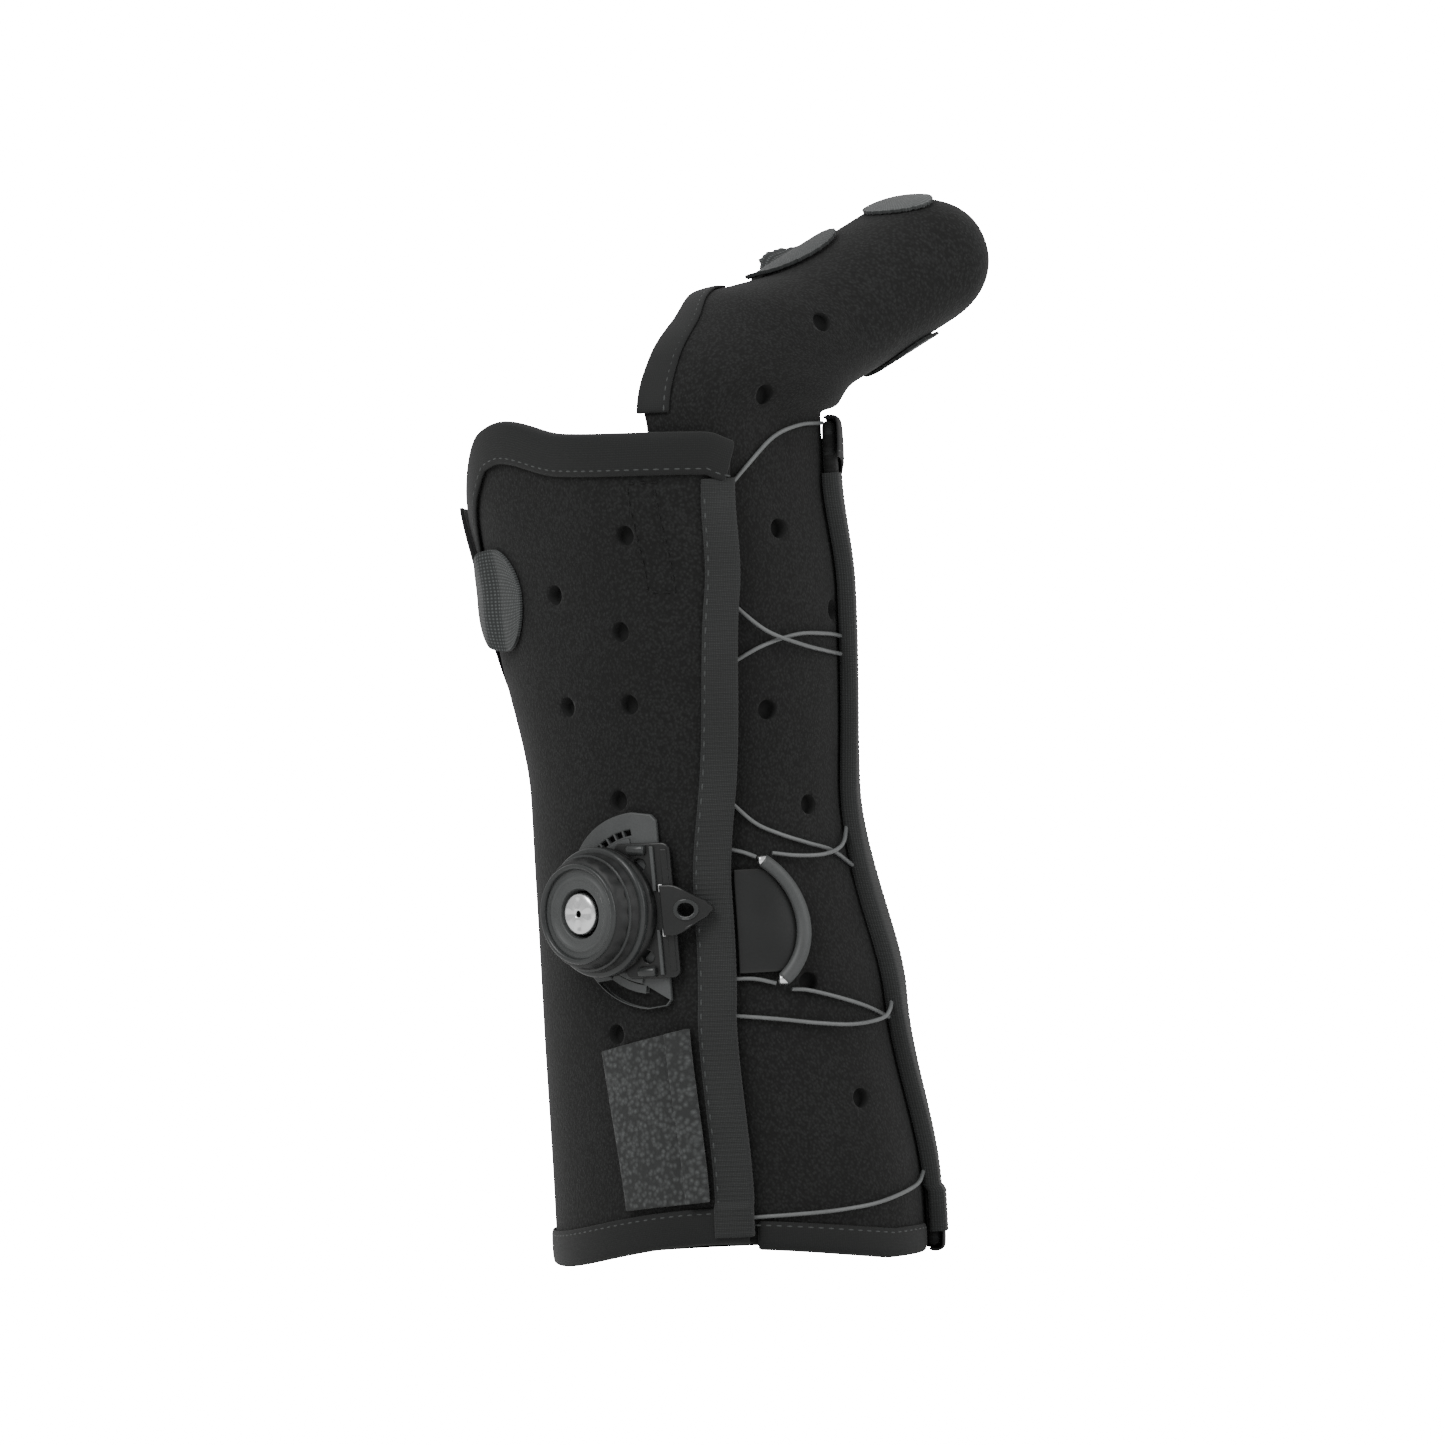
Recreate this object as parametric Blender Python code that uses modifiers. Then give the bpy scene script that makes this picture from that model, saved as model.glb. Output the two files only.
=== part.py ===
"""Boxer fracture brace for a right hand, laced over the back of the wrist with a dial.

The brace stands on its forearm rim: +Z runs from the forearm to the fingers, -Y is the
back of the hand, +Y the palm, +X the little-finger side and -X the thumb side.
Sizes are in metres and angles in degrees. An angle round the arm is measured about the
section's centre from +X, positive towards the palm, so -90 is the back of the hand.
A lift is a distance outward from the outer face of the panels.
"""
from math import cos, degrees, hypot, pi, radians, sin

import bmesh
import bpy
from mathutils import Matrix, Vector

# Outer panels
PANEL_HEIGHT = 0.199
PANEL_WALL = 0.003
FOREARM_WIDTH = 0.102
FOREARM_DEPTH = 0.084
HAND_SIDE_SHIFT = 0.004
HAND_BACK_SHIFT = 0.0133
RIM_ARCH = 0.0058
RIM_ARCH_MIDDLE = -50.0
RIM_ARCH_REACH = 82.0

# Inner layer and its finger pocket
GUTTER_WALL = 0.003
GUTTER_OVERLAP = 28.0
GUTTER_DROP = 0.0015
CREASE_DEPTH = 0.024
CREASE_HEIGHT = 0.2007
CREASE_RADIUS = 0.006
FINGER_BEND = 66.8
POCKET_SIDE = 0.020
POCKET_WIDTH = 0.041
POCKET_DEPTH = 0.0315
POCKET_LENGTH = 0.038
POCKET_TIP = 0.0190
POCKET_SQUARENESS = 2.2
RISE_STAGE = 0.25
FLAP_START = 145.0
FLAP_RISE = 30.0
FLAP_RAMP = 12.0

# Clearances and thin trims
GAP = 0.0003
LAYER_GAP = 0.0007
CLOTH_GAP = 0.0006
BINDING_THICKNESS = 0.0008
BINDING_EASE = 0.0003
NOTCH_EASE = 0.0005
BINDING_CORNER = 0.00045
CUFF_BINDING_WIDTH = 0.0075
GUTTER_BINDING_WIDTH = 0.0058
TOP_BINDING_WIDTH = 0.009
FINGER_BINDING_WIDTH = 0.0067
FINGER_CAP = 0.0010
RIBBON_WIDTH = 0.008
RIBBON_THICKNESS = 0.0006
VENT_DIAMETER = 0.0048

# Dial and its neighbours
DIAL_HEIGHT = 0.0857
DIAL_ANGLE = -79.5
DIAL_SEAT_DIAMETER = 0.031
DIAL_SEAT_HEIGHT = 0.0032
KNOB_DIAMETER = 0.031
KNOB_RIM_DIAMETER = 0.0262
KNOB_FACE_DIAMETER = 0.0205
KNOB_HEIGHT = 0.0085
KNOB_FACE_DROP = 0.0012
AXLE_CAP_DIAMETER = 0.010
AXLE_DIAMETER = 0.005
AXLE_CLEARANCE = 0.0003
AXLE_EYE_DIAMETER = 0.0016
FLANGE_HEIGHT = 0.047
FLANGE_RADIUS = 0.0245
FLANGE_EDGE = 0.0156
FLANGE_THICKNESS = 0.0014
HOUSING_START = 0.005
HOUSING_END = 0.0185
HOUSING_HEIGHT = 0.032
HOUSING_THICKNESS = 0.0029
PORT_DIAMETER = 0.0028
PORT_LENGTH = 0.004
PORT_INSET = 0.0016
PORT_SETBACK = 0.006
KEEPER_START = 0.0162
KEEPER_LENGTH = 0.0105
KEEPER_WIDTH = 0.012
KEEPER_THICKNESS = 0.0014
KEEPER_HOLE = 0.0034
KEEPER_STEP = 0.005
KEEPER_REST = 0.0022

# Guide, laces and tabs
GUIDE_HEIGHT = 0.0821
GUIDE_ANGLE = -14.1
GUIDE_RADIUS = 0.018
GUIDE_HALF_SWEEP = 51.7
GUIDE_BAND = 0.0034
GUIDE_THICKNESS = 0.0026
GUIDE_PLATE = 0.0009
GUIDE_PLATE_INSET = 9.5
LACE_DIAMETER = 0.001
TAB_THICKNESS = 0.0008
STRAP_THICKNESS = 0.0010
STRAP_CLEARANCE = 0.0013
PULL_TAB_THICKNESS = 0.0011
PULL_TAB_FOLD = 0.0045

# Where the forearm's axis stands, so that the origin is under the middle of the whole brace
FOREARM_CENTRE = Vector((0.0020, -0.0066, 0.0))

# Worked-out values
GUTTER_FACE = -(PANEL_WALL + LAYER_GAP)
RIM_BASE = CLOTH_GAP + BINDING_THICKNESS
LACE_LIFT = GUTTER_FACE + CLOTH_GAP + LACE_DIAMETER / 2
FLAP_LIFT = GUTTER_WALL + 2 * CLOTH_GAP
BINDING_MIDDLE = CLOTH_GAP + BINDING_THICKNESS / 2
ARM_RADIUS = (FOREARM_WIDTH + FOREARM_DEPTH) / 4

# Sections of the wrap. Columns: height as a share of the panel height, width and depth
# as shares of the forearm's, squareness of the section, shares of the side and back shifts.
SECTIONS = (
    (0.075, 1.000, 1.000, 2.0, 0.00, -0.05),
    (0.312, 0.940, 0.944, 2.0, 0.12, 0.22),
    (0.563, 0.854, 0.842, 2.0, 0.62, 0.54),
    (0.804, 0.897, 0.848, 2.5, 0.75, 0.78),
    (0.935, 0.888, 0.845, 2.8, 1.00, 1.00),
)

# Lacing edges. Columns: height as a share of the panel height, angle.
DORSAL_EDGE = ((0.00, -40.5), (0.28, -39.0), (0.45, -34.3), (0.56, -28.3), (0.76, -22.5), (1.00, -16.5))
VOLAR_EDGE = ((0.00, 29.0), (0.25, 24.5), (0.42, 18.5), (0.55, 24.0), (0.66, 28.0), (1.00, 27.5))

# Upper outline of the panels from the dorsal lacing edge round the thumb side to the
# volar one, with the thumb notch. Columns: angle, height as a share of the panel height.
TOP_OUTLINE = (
    (-16.5, 0.985), (-24.0, 0.996), (-78.0, 1.003), (-112.0, 1.022), (-125.0, 1.012),
    (-138.0, 0.960), (-148.0, 0.870), (-159.0, 0.765), (-174.0, 0.660), (-190.0, 0.640),
    (-205.0, 0.700), (-219.0, 0.840), (-236.0, 0.925), (-290.0, 0.945), (-332.5, 1.010),
)

# The layer that bends over the knuckles. Columns: share of the finger bend, share of the
# way from the hand's reach to the pocket's, the same for the width, angles of both edges.
KNUCKLES = (
    (0.000, 0.00, 0.00, -44.5, 55.5),
    (0.220, 0.36, 0.20, -55.0, 70.0),
    (0.440, 0.66, 0.45, -73.0, 95.0),
    (0.655, 0.83, 0.70, -108.0, 128.0),
    (0.860, 0.96, 0.90, -144.0, 162.0),
    (1.000, 1.00, 1.00, -161.0, 194.0),
)

# Free edge of the pocket's flap. Columns: share of the pocket length, angle of the edge.
FLAP = ((0.00, 194.0), (0.12, 207.0), (0.30, 215.0), (0.75, 214.0), (1.00, 198.0))

# Vents. Columns: angle, height as a share of the panel height.
PANEL_VENTS = (
    (-53.3, 0.877), (-91.3, 0.810), (-60.3, 0.763), (-60.9, 0.676),
    (-91.9, 0.676), (-70.7, 0.562), (-81.6, 0.284),
)
GUTTER_VENTS = (
    (0.3, 0.876), (24.0, 0.776), (-12.4, 0.662), (1.9, 0.546), (-0.1, 0.194), (-13.4, 0.336),
)
# Columns: stage on the finger layer, angle.
FINGER_VENTS = ((0.12, -6.0), (0.72, -14.0))

# Lace routes, chosen by hand. Columns: angle, height, share of one lace lift where a
# stretch passes over another. None stands for the lacing edge at that height.
LACE_ROUTES = {
    "lace_1": ((None, 0.1840, 0), (-9.2, 0.1898, 0), (1.5, 0.1960, 0), (12.7, 0.1985, 0), (None, 0.1988, 0)),
    "lace_2": ((None, 0.1571, 0), (-12.1, 0.1505, 1), (1.0, 0.1467, 1), (14.9, 0.1447, 0), (None, 0.1436, 0)),
    "lace_3": ((None, 0.1432, 0), (-12.5, 0.1469, 0), (1.3, 0.1491, 0), (15.3, 0.1488, 0), (None, 0.1479, 0)),
    "lace_4": ((None, 0.1104, 0), (-21.1, 0.1051, 0), (-13.1, 0.1022, 0), (-2.7, 0.0996, 0),
               (7.8, 0.0974, 0), (None, 0.0930, 0)),
    "lace_5": ((-17.0, 0.0978, 0), (-9.0, 0.0969, 0.4), (0.0, 0.0967, 1), (7.8, 0.0976, 1),
               (15.0, 0.0994, 0.5), (None, 0.1030, 0)),
    "lace_6": ((-19.6, 0.0655, 0), (-14.2, 0.0650, 0), (-4.0, 0.0628, 0), (7.7, 0.0601, 0), (None, 0.0566, 0)),
    "lace_7": ((None, 0.0600, 0), (-24.3, 0.0586, 0), (-11.8, 0.0571, 0), (0.9, 0.0562, 0.3),
               (13.0, 0.0570, 1), (19.0, 0.0590, 1), (None, 0.0610, 0.6)),
    "lace_8": ((None, 0.0121, 0), (-25.0, 0.0124, 0), (-13.1, 0.0128, 0), (0.3, 0.0139, 0),
               (17.8, 0.0166, 0), (None, 0.0198, 0)),
    "dial_lace_upper": ((None, 0.0994, 0), (-27.0, 0.0984, 0), (-22.8, 0.0971, 0)),
    "dial_lace_lower": ((None, 0.0686, 0), (-31.0, 0.0684, 0), (-24.4, 0.0671, 0)),
}
EDGE_CLEARANCE = 1.6
LACE_STEP = 0.0038
LACE_RISE = 1.4 * LACE_DIAMETER

# Corners of the pull tab. Columns: angle, height as a share of the panel height.
PULL_TAB_CORNERS = ((-87.0, 0.264), (-53.5, 0.288), (-53.0, 0.082), (-81.9, 0.073))

# Web strap. Columns: share of its length, angle of the lower edge, angle of the upper edge,
# heights of both edges as shares of the panel height.
WEB_STRAP = (
    (0.0, -134.0, -141.5, 0.789, 0.920),
    (0.3, -160.0, -162.0, 0.790, 0.915),
    (0.7, -200.0, -200.0, 0.795, 0.905),
    (1.0, -228.0, -228.0, 0.790, 0.850),
)

# Oval tabs on the finger pocket. Columns: stage of the middle, angle of the middle,
# half length in stages, half width in degrees, clearance under the tab.
FINGER_TABS = (
    (1.26, -108.0, 0.34, 31.0, 0.0009),
    (2.10, -86.0, 0.24, 34.0, 0.0003),
    (1.56, 70.0, 0.30, 27.0, 0.0003),
)
WEB_TAB = (-124.5, 0.806, 13.5, 0.0122)
WEB_TAB_STEP = (-130.5, -123.5)


def smooth(t):
    """Ease from 0 to 1 with flat ends."""
    t = min(max(t, 0.0), 1.0)
    return t * t * (3 - 2 * t)


def slope_at(rows, i, column):
    """Slope of a smooth curve through a column at a row, flat where the column turns."""
    if i == 0 or i == len(rows) - 1:
        return 0.0
    before = (rows[i][column] - rows[i - 1][column]) / (rows[i][0] - rows[i - 1][0])
    after = (rows[i + 1][column] - rows[i][column]) / (rows[i + 1][0] - rows[i][0])
    return 2 * before * after / (before + after) if before * after > 0 else 0.0


def along(table, value, ease=False):
    """Columns after the first, read off a smooth curve through a table's rows at a value.

    With ease the curve is level at every row.
    """
    rows = table if table[-1][0] > table[0][0] else tuple(reversed(table))
    if value <= rows[0][0]:
        return list(rows[0][1:])
    if value >= rows[-1][0]:
        return list(rows[-1][1:])
    i = next(i for i in range(len(rows) - 1) if value <= rows[i + 1][0])
    span = rows[i + 1][0] - rows[i][0]
    t = (value - rows[i][0]) / span
    found = []
    for column in range(1, len(rows[0])):
        bend = 0.0
        if not ease:
            bend = span * t * (1 - t) * (slope_at(rows, i, column) * (1 - t) - slope_at(rows, i + 1, column) * t)
        found.append(rows[i][column] + (rows[i + 1][column] - rows[i][column]) * smooth(t) + bend)
    return found


def section(height):
    """Half width, half depth, squareness and centre of the wrap at a height."""
    width, depth, square, side, back = along(SECTIONS, height / PANEL_HEIGHT, ease=True)
    return (width * FOREARM_WIDTH / 2, depth * FOREARM_DEPTH / 2, square,
            -side * HAND_SIDE_SHIFT, -back * HAND_BACK_SHIFT)


def ring_radius(half_width, half_depth, square, angle):
    """Distance from the centre of a rounded section to its edge."""
    across = abs(cos(radians(angle)) / half_width) ** square
    deep = abs(sin(radians(angle)) / half_depth) ** square
    return (across + deep) ** (-1 / square)


def ring_point(half_width, half_depth, square, angle, lift):
    """A point of a rounded section, lifted square to it, and the way out there."""
    across, deep = cos(radians(angle)), sin(radians(angle))
    out_x = abs(across / half_width) ** (square - 1) / half_width * (1 if across > 0 else -1)
    out_y = abs(deep / half_depth) ** (square - 1) / half_depth * (1 if deep > 0 else -1)
    size = hypot(out_x, out_y)
    r = ring_radius(half_width, half_depth, square, angle)
    return r * across + lift * out_x / size, r * deep + lift * out_y / size


def skin(height, angle, lift=0.0):
    """A point of the wrap."""
    half_width, half_depth, square, x, y = section(height)
    across, deep = ring_point(half_width, half_depth, square, angle, lift)
    return FOREARM_CENTRE + Vector((x + across, y + deep, height))


def dorsal_edge(height):
    return along(DORSAL_EDGE, height / PANEL_HEIGHT)[0]


def volar_edge(height):
    return along(VOLAR_EDGE, height / PANEL_HEIGHT)[0]


def rim_arch(angle):
    """Height of the lower rim above where it rests."""
    away = abs((angle - RIM_ARCH_MIDDLE + 180) % 360 - 180)
    return RIM_ARCH * smooth(1 - away / RIM_ARCH_REACH)


def panel_bottom(angle):
    return RIM_BASE + rim_arch(angle)


def panel_top(angle):
    return along(TOP_OUTLINE, angle)[0] * PANEL_HEIGHT - RIM_BASE


def gutter_bottom(angle):
    return RIM_BASE + max(rim_arch(angle) - GUTTER_DROP, 0.0)


def panel_angle(height, across):
    """Angle at a share of the way round the panels, at a height."""
    start = dorsal_edge(height)
    return start + (volar_edge(height) - 360 - start) * across


def panel_edge(across, outline):
    """Angle and height of the panels' upper or lower outline."""
    height = PANEL_HEIGHT if outline is panel_top else 0.0
    for _ in range(6):
        angle = panel_angle(height, across)
        height = outline(angle)
    return angle, height


def panel_point(across, up, lift):
    """A point of the panels at shares of the way round and up."""
    low = panel_edge(across, panel_bottom)[1]
    high = panel_edge(across, panel_top)[1]
    height = low + (high - low) * up
    return skin(height, panel_angle(height, across), lift)


def finger_ring(stage):
    """Frame of the finger layer: stage 0 to 1 bends, 1 to 2 is straight, 2 to 3 is the tip."""
    bend = radians(FINGER_BEND * min(stage, 1.0))
    reach, widen = along(KNUCKLES, min(stage, 1.0))[:2]
    half_width, half_depth, square, x, y = section(CREASE_HEIGHT)
    inset = GUTTER_FACE * (1 - smooth(stage / RISE_STAGE))
    half_width += inset
    half_depth += inset
    far = CREASE_DEPTH - y + half_depth
    near = CREASE_DEPTH - y - half_depth
    far += (CREASE_RADIUS + POCKET_DEPTH - far) * reach
    near += (CREASE_RADIUS - near) * min(stage, 1.0)
    half_width += (POCKET_WIDTH / 2 - half_width) * widen
    square += (POCKET_SQUARENESS - square) * widen
    x += (POCKET_SIDE - x) * widen
    half_depth = (far - near) / 2
    back = Vector((0, -cos(bend), sin(bend)))
    forward = Vector((0, sin(bend), cos(bend)))
    centre = FOREARM_CENTRE + Vector((x, CREASE_DEPTH, CREASE_HEIGHT)) + back * (far + near) / 2
    shrink = 1.0
    if stage > 1:
        centre += forward * POCKET_LENGTH * min(stage - 1, 1.0)
    if stage > 2:
        turn = radians(90 * min(stage - 2, 1.0))
        centre += forward * POCKET_TIP * sin(turn)
        shrink = cos(turn)
    return centre, back, half_width, half_depth, square, shrink


def finger_skin(stage, angle, lift=0.0):
    """A point of the finger layer, with the lift measured from its own outer face."""
    centre, back, half_width, half_depth, square, shrink = finger_ring(stage)
    outward = sin(radians(90 * min(max(stage - 2, 0.0), 1.0)))
    forward = Vector((0, back.z, -back.y))
    across, deep = ring_point(half_width, half_depth, square, angle, lift)
    return centre + Vector((across * shrink, 0, 0)) - back * deep * shrink + forward * lift * outward


def finger_edges(stage):
    """Angles of the two free edges of the finger layer."""
    start, end = along(KNUCKLES, min(stage, 1.0))[2:]
    if stage > 1:
        end = along(FLAP, min(stage - 1, 1.0))[0]
    if stage > 2:
        end = start + 360 - (1.0 if stage < 2.2 else 0.0)
    return start, end


def flap_lift(stage, angle):
    """Lift of the pocket's flap over the edge that it covers."""
    fade = smooth((stage - 0.8) / 0.15) * (1 - smooth((stage - 2.0) / 0.2))
    return FLAP_LIFT * fade * smooth((angle - FLAP_START) / FLAP_RISE)


def finger_face(stage, angle, lift=0.0):
    """A point of the finger layer's outer face, on the flap where the flap lies."""
    return finger_skin(stage, angle, flap_lift(stage, angle) + lift)


def pocket_top(stage, angle):
    """Lift of the outermost layer on the back of the pocket."""
    edge = finger_edges(stage)[1] - 360
    if angle > 0:
        return 0.0
    fade = smooth((stage - 0.8) / 0.15) * (1 - smooth((stage - 2.0) / 0.2))
    return FLAP_LIFT * fade * smooth((edge + FLAP_RAMP + 3 - angle) / FLAP_RAMP)


def arc_turn(height, angle, distance):
    """Angle a distance further round the wrap."""
    half_width, half_depth, square = section(height)[:3]
    return angle + degrees(distance / ring_radius(half_width, half_depth, square, angle))


def steps(count, start=0.0, end=1.0):
    return [start + (end - start) * i / count for i in range(count + 1)]


def material(name, colour, roughness, metallic=0.0):
    found = bpy.data.materials.get(name)
    if found:
        return found
    made = bpy.data.materials.new(name)
    made.use_nodes = True
    shader = made.node_tree.nodes["Principled BSDF"]
    shader.inputs["Base Color"].default_value = (*colour, 1)
    shader.inputs["Roughness"].default_value = roughness
    shader.inputs["Metallic"].default_value = metallic
    return made


def add_object(name, data, collection, finish=None):
    made = bpy.data.objects.new(name, data)
    collection.objects.link(made)
    if finish:
        data.materials.append(finish)
    if collection is CUTTERS:
        made.hide_render = True
        made.display_type = "WIRE"
    return made


def grid_mesh(name, place, rows, columns):
    """An open surface through place(row, column), with coinciding corners welded."""
    bm = bmesh.new()
    net = [[bm.verts.new(place(r, c)) for c in columns] for r in rows]
    for lower, upper in zip(net, net[1:]):
        for i in range(len(columns) - 1):
            bm.faces.new((lower[i], lower[i + 1], upper[i + 1], upper[i]))
    bmesh.ops.remove_doubles(bm, verts=bm.verts, dist=1e-5)
    data = bpy.data.meshes.new(name)
    bm.to_mesh(data)
    bm.free()
    return data


def sheet(name, finish, place, rows, columns, thickness, side=-1, collection=None):
    """A wall on one side of the surface place(row, column, lift)."""
    data = grid_mesh(name, lambda r, c: place(r, c, 0.0), rows, columns)
    middle = data.polygons[0]
    out = place(rows[0], columns[0], 0.001) - place(rows[0], columns[0], 0.0)
    if middle.normal.dot(out) < 0:
        data.flip_normals()
    made = add_object(name, data, collection or PARTS, finish)
    wall = made.modifiers.new("Wall", "SOLIDIFY")
    wall.thickness = thickness
    wall.offset = side
    wall.use_even_offset = True
    wall.use_quality_normals = True
    return made


def cut(made, tool, operation="DIFFERENCE"):
    step = made.modifiers.new(tool.name, "BOOLEAN")
    step.operation = operation
    step.object = tool
    step.solver = "EXACT"


def frame_at(point, outward, across):
    """A matrix with its Z outward and its X as near as can be to across."""
    z = outward.normalized()
    x = (across - z * across.dot(z)).normalized()
    turn = Matrix((x, z.cross(x), z)).transposed()
    return Matrix.Translation(point) @ turn.to_4x4()


def surface_frame(place, a, b):
    """Frame of a surface place(a, b, lift) at a point, X along the growing b."""
    point = place(a, b, 0.0)
    out = place(a, b, 0.001) - point
    across = place(a, b + 0.5, 0.0) - point
    return frame_at(point, out, across)


def drills(name, frames, diameter, depth):
    """One cutter of short cylinders standing on the frames."""
    bm = bmesh.new()
    for place in frames:
        bmesh.ops.create_cone(bm, cap_ends=True, segments=8, radius1=diameter / 2,
                              radius2=diameter / 2, depth=depth, matrix=place)
    data = bpy.data.meshes.new(name)
    bm.to_mesh(data)
    bm.free()
    return add_object(name, data, CUTTERS)


def binding(name, finish, place, width, wall, shares, inward, ease=0.0):
    """Tape folded over an edge: a leg on the outer face and a cap over the wall's end.

    place(a, b, lift) is a point of the surface, and inward(share, distance) gives the two
    coordinates of the spot that distance in from the edge. ease lifts the leg where the
    edge is steep.
    """
    profile = (
        (width, BINDING_MIDDLE + ease),
        (-BINDING_CORNER, BINDING_MIDDLE + ease),
        (-BINDING_MIDDLE, BINDING_CORNER),
        (-BINDING_MIDDLE, -wall),
    )

    def point(row, share, lift):
        distance, height = profile[row]
        a, b = inward(share, distance)
        return place(a, b, height + lift)

    return sheet(name, finish, point, range(len(profile)), shares, BINDING_THICKNESS, side=0)


def inward_from(edge, toward):
    """Coordinates a distance in from an edge given as angle and height, square to it."""
    def shifted(share, distance):
        before, after = edge(max(share - 0.01, 0.0)), edge(min(share + 0.01, 1.0))
        run = radians(after[0] - before[0]) * ARM_RADIUS
        rise = after[1] - before[1]
        size = hypot(run, rise)
        step_round, step_up = -rise / size, run / size
        if step_up * toward < 0:
            step_round, step_up = -step_round, -step_up
        angle, height = edge(share)
        return height + step_up * distance, angle + degrees(step_round * distance / ARM_RADIUS)
    return shifted


def panel_columns():
    """Shares of the way round the panels, closer together in the thumb notch."""
    return [0.0, 0.012] + steps(8, 0.04, 0.36) + steps(15, 0.385, 0.715) + steps(6, 0.745, 0.96) + [0.988, 1.0]


def make_main_shell(finish):
    made = sheet("main_shell", finish, lambda up, share, lift: panel_point(share, up, lift),
                 steps(12), panel_columns(), PANEL_WALL)
    frames = [surface_frame(skin, share * PANEL_HEIGHT, angle) for angle, share in PANEL_VENTS]
    cut(made, drills("panel_vent_drills", frames, VENT_DIAMETER, 2.5 * PANEL_WALL))


def gutter_point(stage, share, lift):
    """Stage -1 to 0 climbs the forearm and the hand, and from 0 on it is the finger layer."""
    if stage < 0:
        height = CREASE_HEIGHT * (stage + 1)
        for _ in range(6):
            start = dorsal_edge(height) - GUTTER_OVERLAP
            end = volar_edge(height) + GUTTER_OVERLAP
            angle = start + (end - start) * share
            low = gutter_bottom(angle)
            height = low + (CREASE_HEIGHT - low) * (stage + 1)
        return skin(height, angle, GUTTER_FACE + lift)
    start, end = finger_edges(stage)
    angle = start + (end - start) * share
    return finger_skin(stage, angle, flap_lift(stage, angle) + lift)


KNUCKLE_STAGES = steps(8)[:-1]
POCKET_STAGES = (1.0, 1.12, 1.30, 1.52, 1.75, 1.9, 2.0, 2.2, 2.4, 2.6, 2.8, 3.0)


def make_gutter_shell(finish):
    stages = steps(12, -1.0, 0.0)[:-1] + KNUCKLE_STAGES + list(POCKET_STAGES)
    made = sheet("gutter_shell", finish, gutter_point, stages, steps(19), GUTTER_WALL)
    frames = [surface_frame(lambda h, a, lift: skin(h, a, GUTTER_FACE + lift), share * PANEL_HEIGHT, angle)
              for angle, share in GUTTER_VENTS]
    frames += [surface_frame(finger_skin, stage, angle) for stage, angle in FINGER_VENTS]
    cut(made, drills("gutter_vent_drills", frames, VENT_DIAMETER, 2.5 * GUTTER_WALL))


def make_bindings(finish):
    def top_edge(share):
        return panel_edge(share, panel_top)

    def cuff_edge(share):
        return panel_edge(share, panel_bottom)

    def gutter_edge(share):
        start = dorsal_edge(0.0) + EDGE_CLEARANCE
        end = volar_edge(0.0) - EDGE_CLEARANCE
        angle = start + (end - start) * share
        return angle, gutter_bottom(angle)

    binding("top_binding", finish, skin, TOP_BINDING_WIDTH, PANEL_WALL, panel_columns(),
            inward_from(top_edge, -1), NOTCH_EASE)
    binding("cuff_binding", finish, skin, CUFF_BINDING_WIDTH, PANEL_WALL, panel_columns(),
            inward_from(cuff_edge, 1))
    binding("gutter_binding", finish, lambda h, a, lift: skin(h, a, GUTTER_FACE + lift),
            GUTTER_BINDING_WIDTH, GUTTER_WALL, steps(10), inward_from(gutter_edge, 1))

    def finger_inward(stage, distance):
        edge = finger_edges(stage)[0]
        wide, deep, square = finger_ring(stage)[2:5]
        return stage, edge + degrees(distance / ring_radius(wide, deep, square, edge))

    binding("finger_binding", finish, finger_face, FINGER_BINDING_WIDTH, FINGER_CAP,
            [0.03] + KNUCKLE_STAGES[1:-1], finger_inward, BINDING_EASE)


def make_ribbons(finish):
    low = RIM_BASE + CUFF_BINDING_WIDTH + RIM_ARCH + GAP
    high = PANEL_HEIGHT * TOP_OUTLINE[0][1] - RIM_BASE - TOP_BINDING_WIDTH - 2 * GAP

    def ribbon(name, edge, side):
        def point(up, across, lift):
            height = low + (high - low) * up
            angle = arc_turn(height, edge(height), side * across * RIBBON_WIDTH)
            return skin(height, angle, CLOTH_GAP + BINDING_EASE + RIBBON_THICKNESS + lift)
        sheet(name, finish, point, steps(20), steps(1), RIBBON_THICKNESS)

    ribbon("dorsal_ribbon", dorsal_edge, -1)
    ribbon("volar_ribbon", volar_edge, 1)


def dial_surface(up, across, lift):
    """A point of the wrap at distances up and across from the dial's axis."""
    height = DIAL_HEIGHT + up
    return skin(height, arc_turn(height, DIAL_ANGLE, across), lift)


def dial_frame():
    """Origin on the wrap, Z along the knob's axis, X towards the lacing edge."""
    point = skin(DIAL_HEIGHT, DIAL_ANGLE)
    across = skin(DIAL_HEIGHT, DIAL_ANGLE + 2) - skin(DIAL_HEIGHT, DIAL_ANGLE - 2)
    return frame_at(point, across.cross(Vector((0, 0, 1))), across)


def turned(name, outline, finish, sides, collection=None):
    """A body turned about Z from an outline of radius and height, outer side top to bottom."""
    data = bpy.data.meshes.new(name)
    data.from_pydata([(r, 0, z) for r, z in outline], [(i, i + 1) for i in range(len(outline) - 1)], [])
    made = add_object(name, data, collection or PARTS, finish)
    spin = made.modifiers.new("Turn", "SCREW")
    spin.steps = sides
    spin.render_steps = sides
    spin.use_merge_vertices = True
    spin.merge_threshold = 1e-6
    return made


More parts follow.
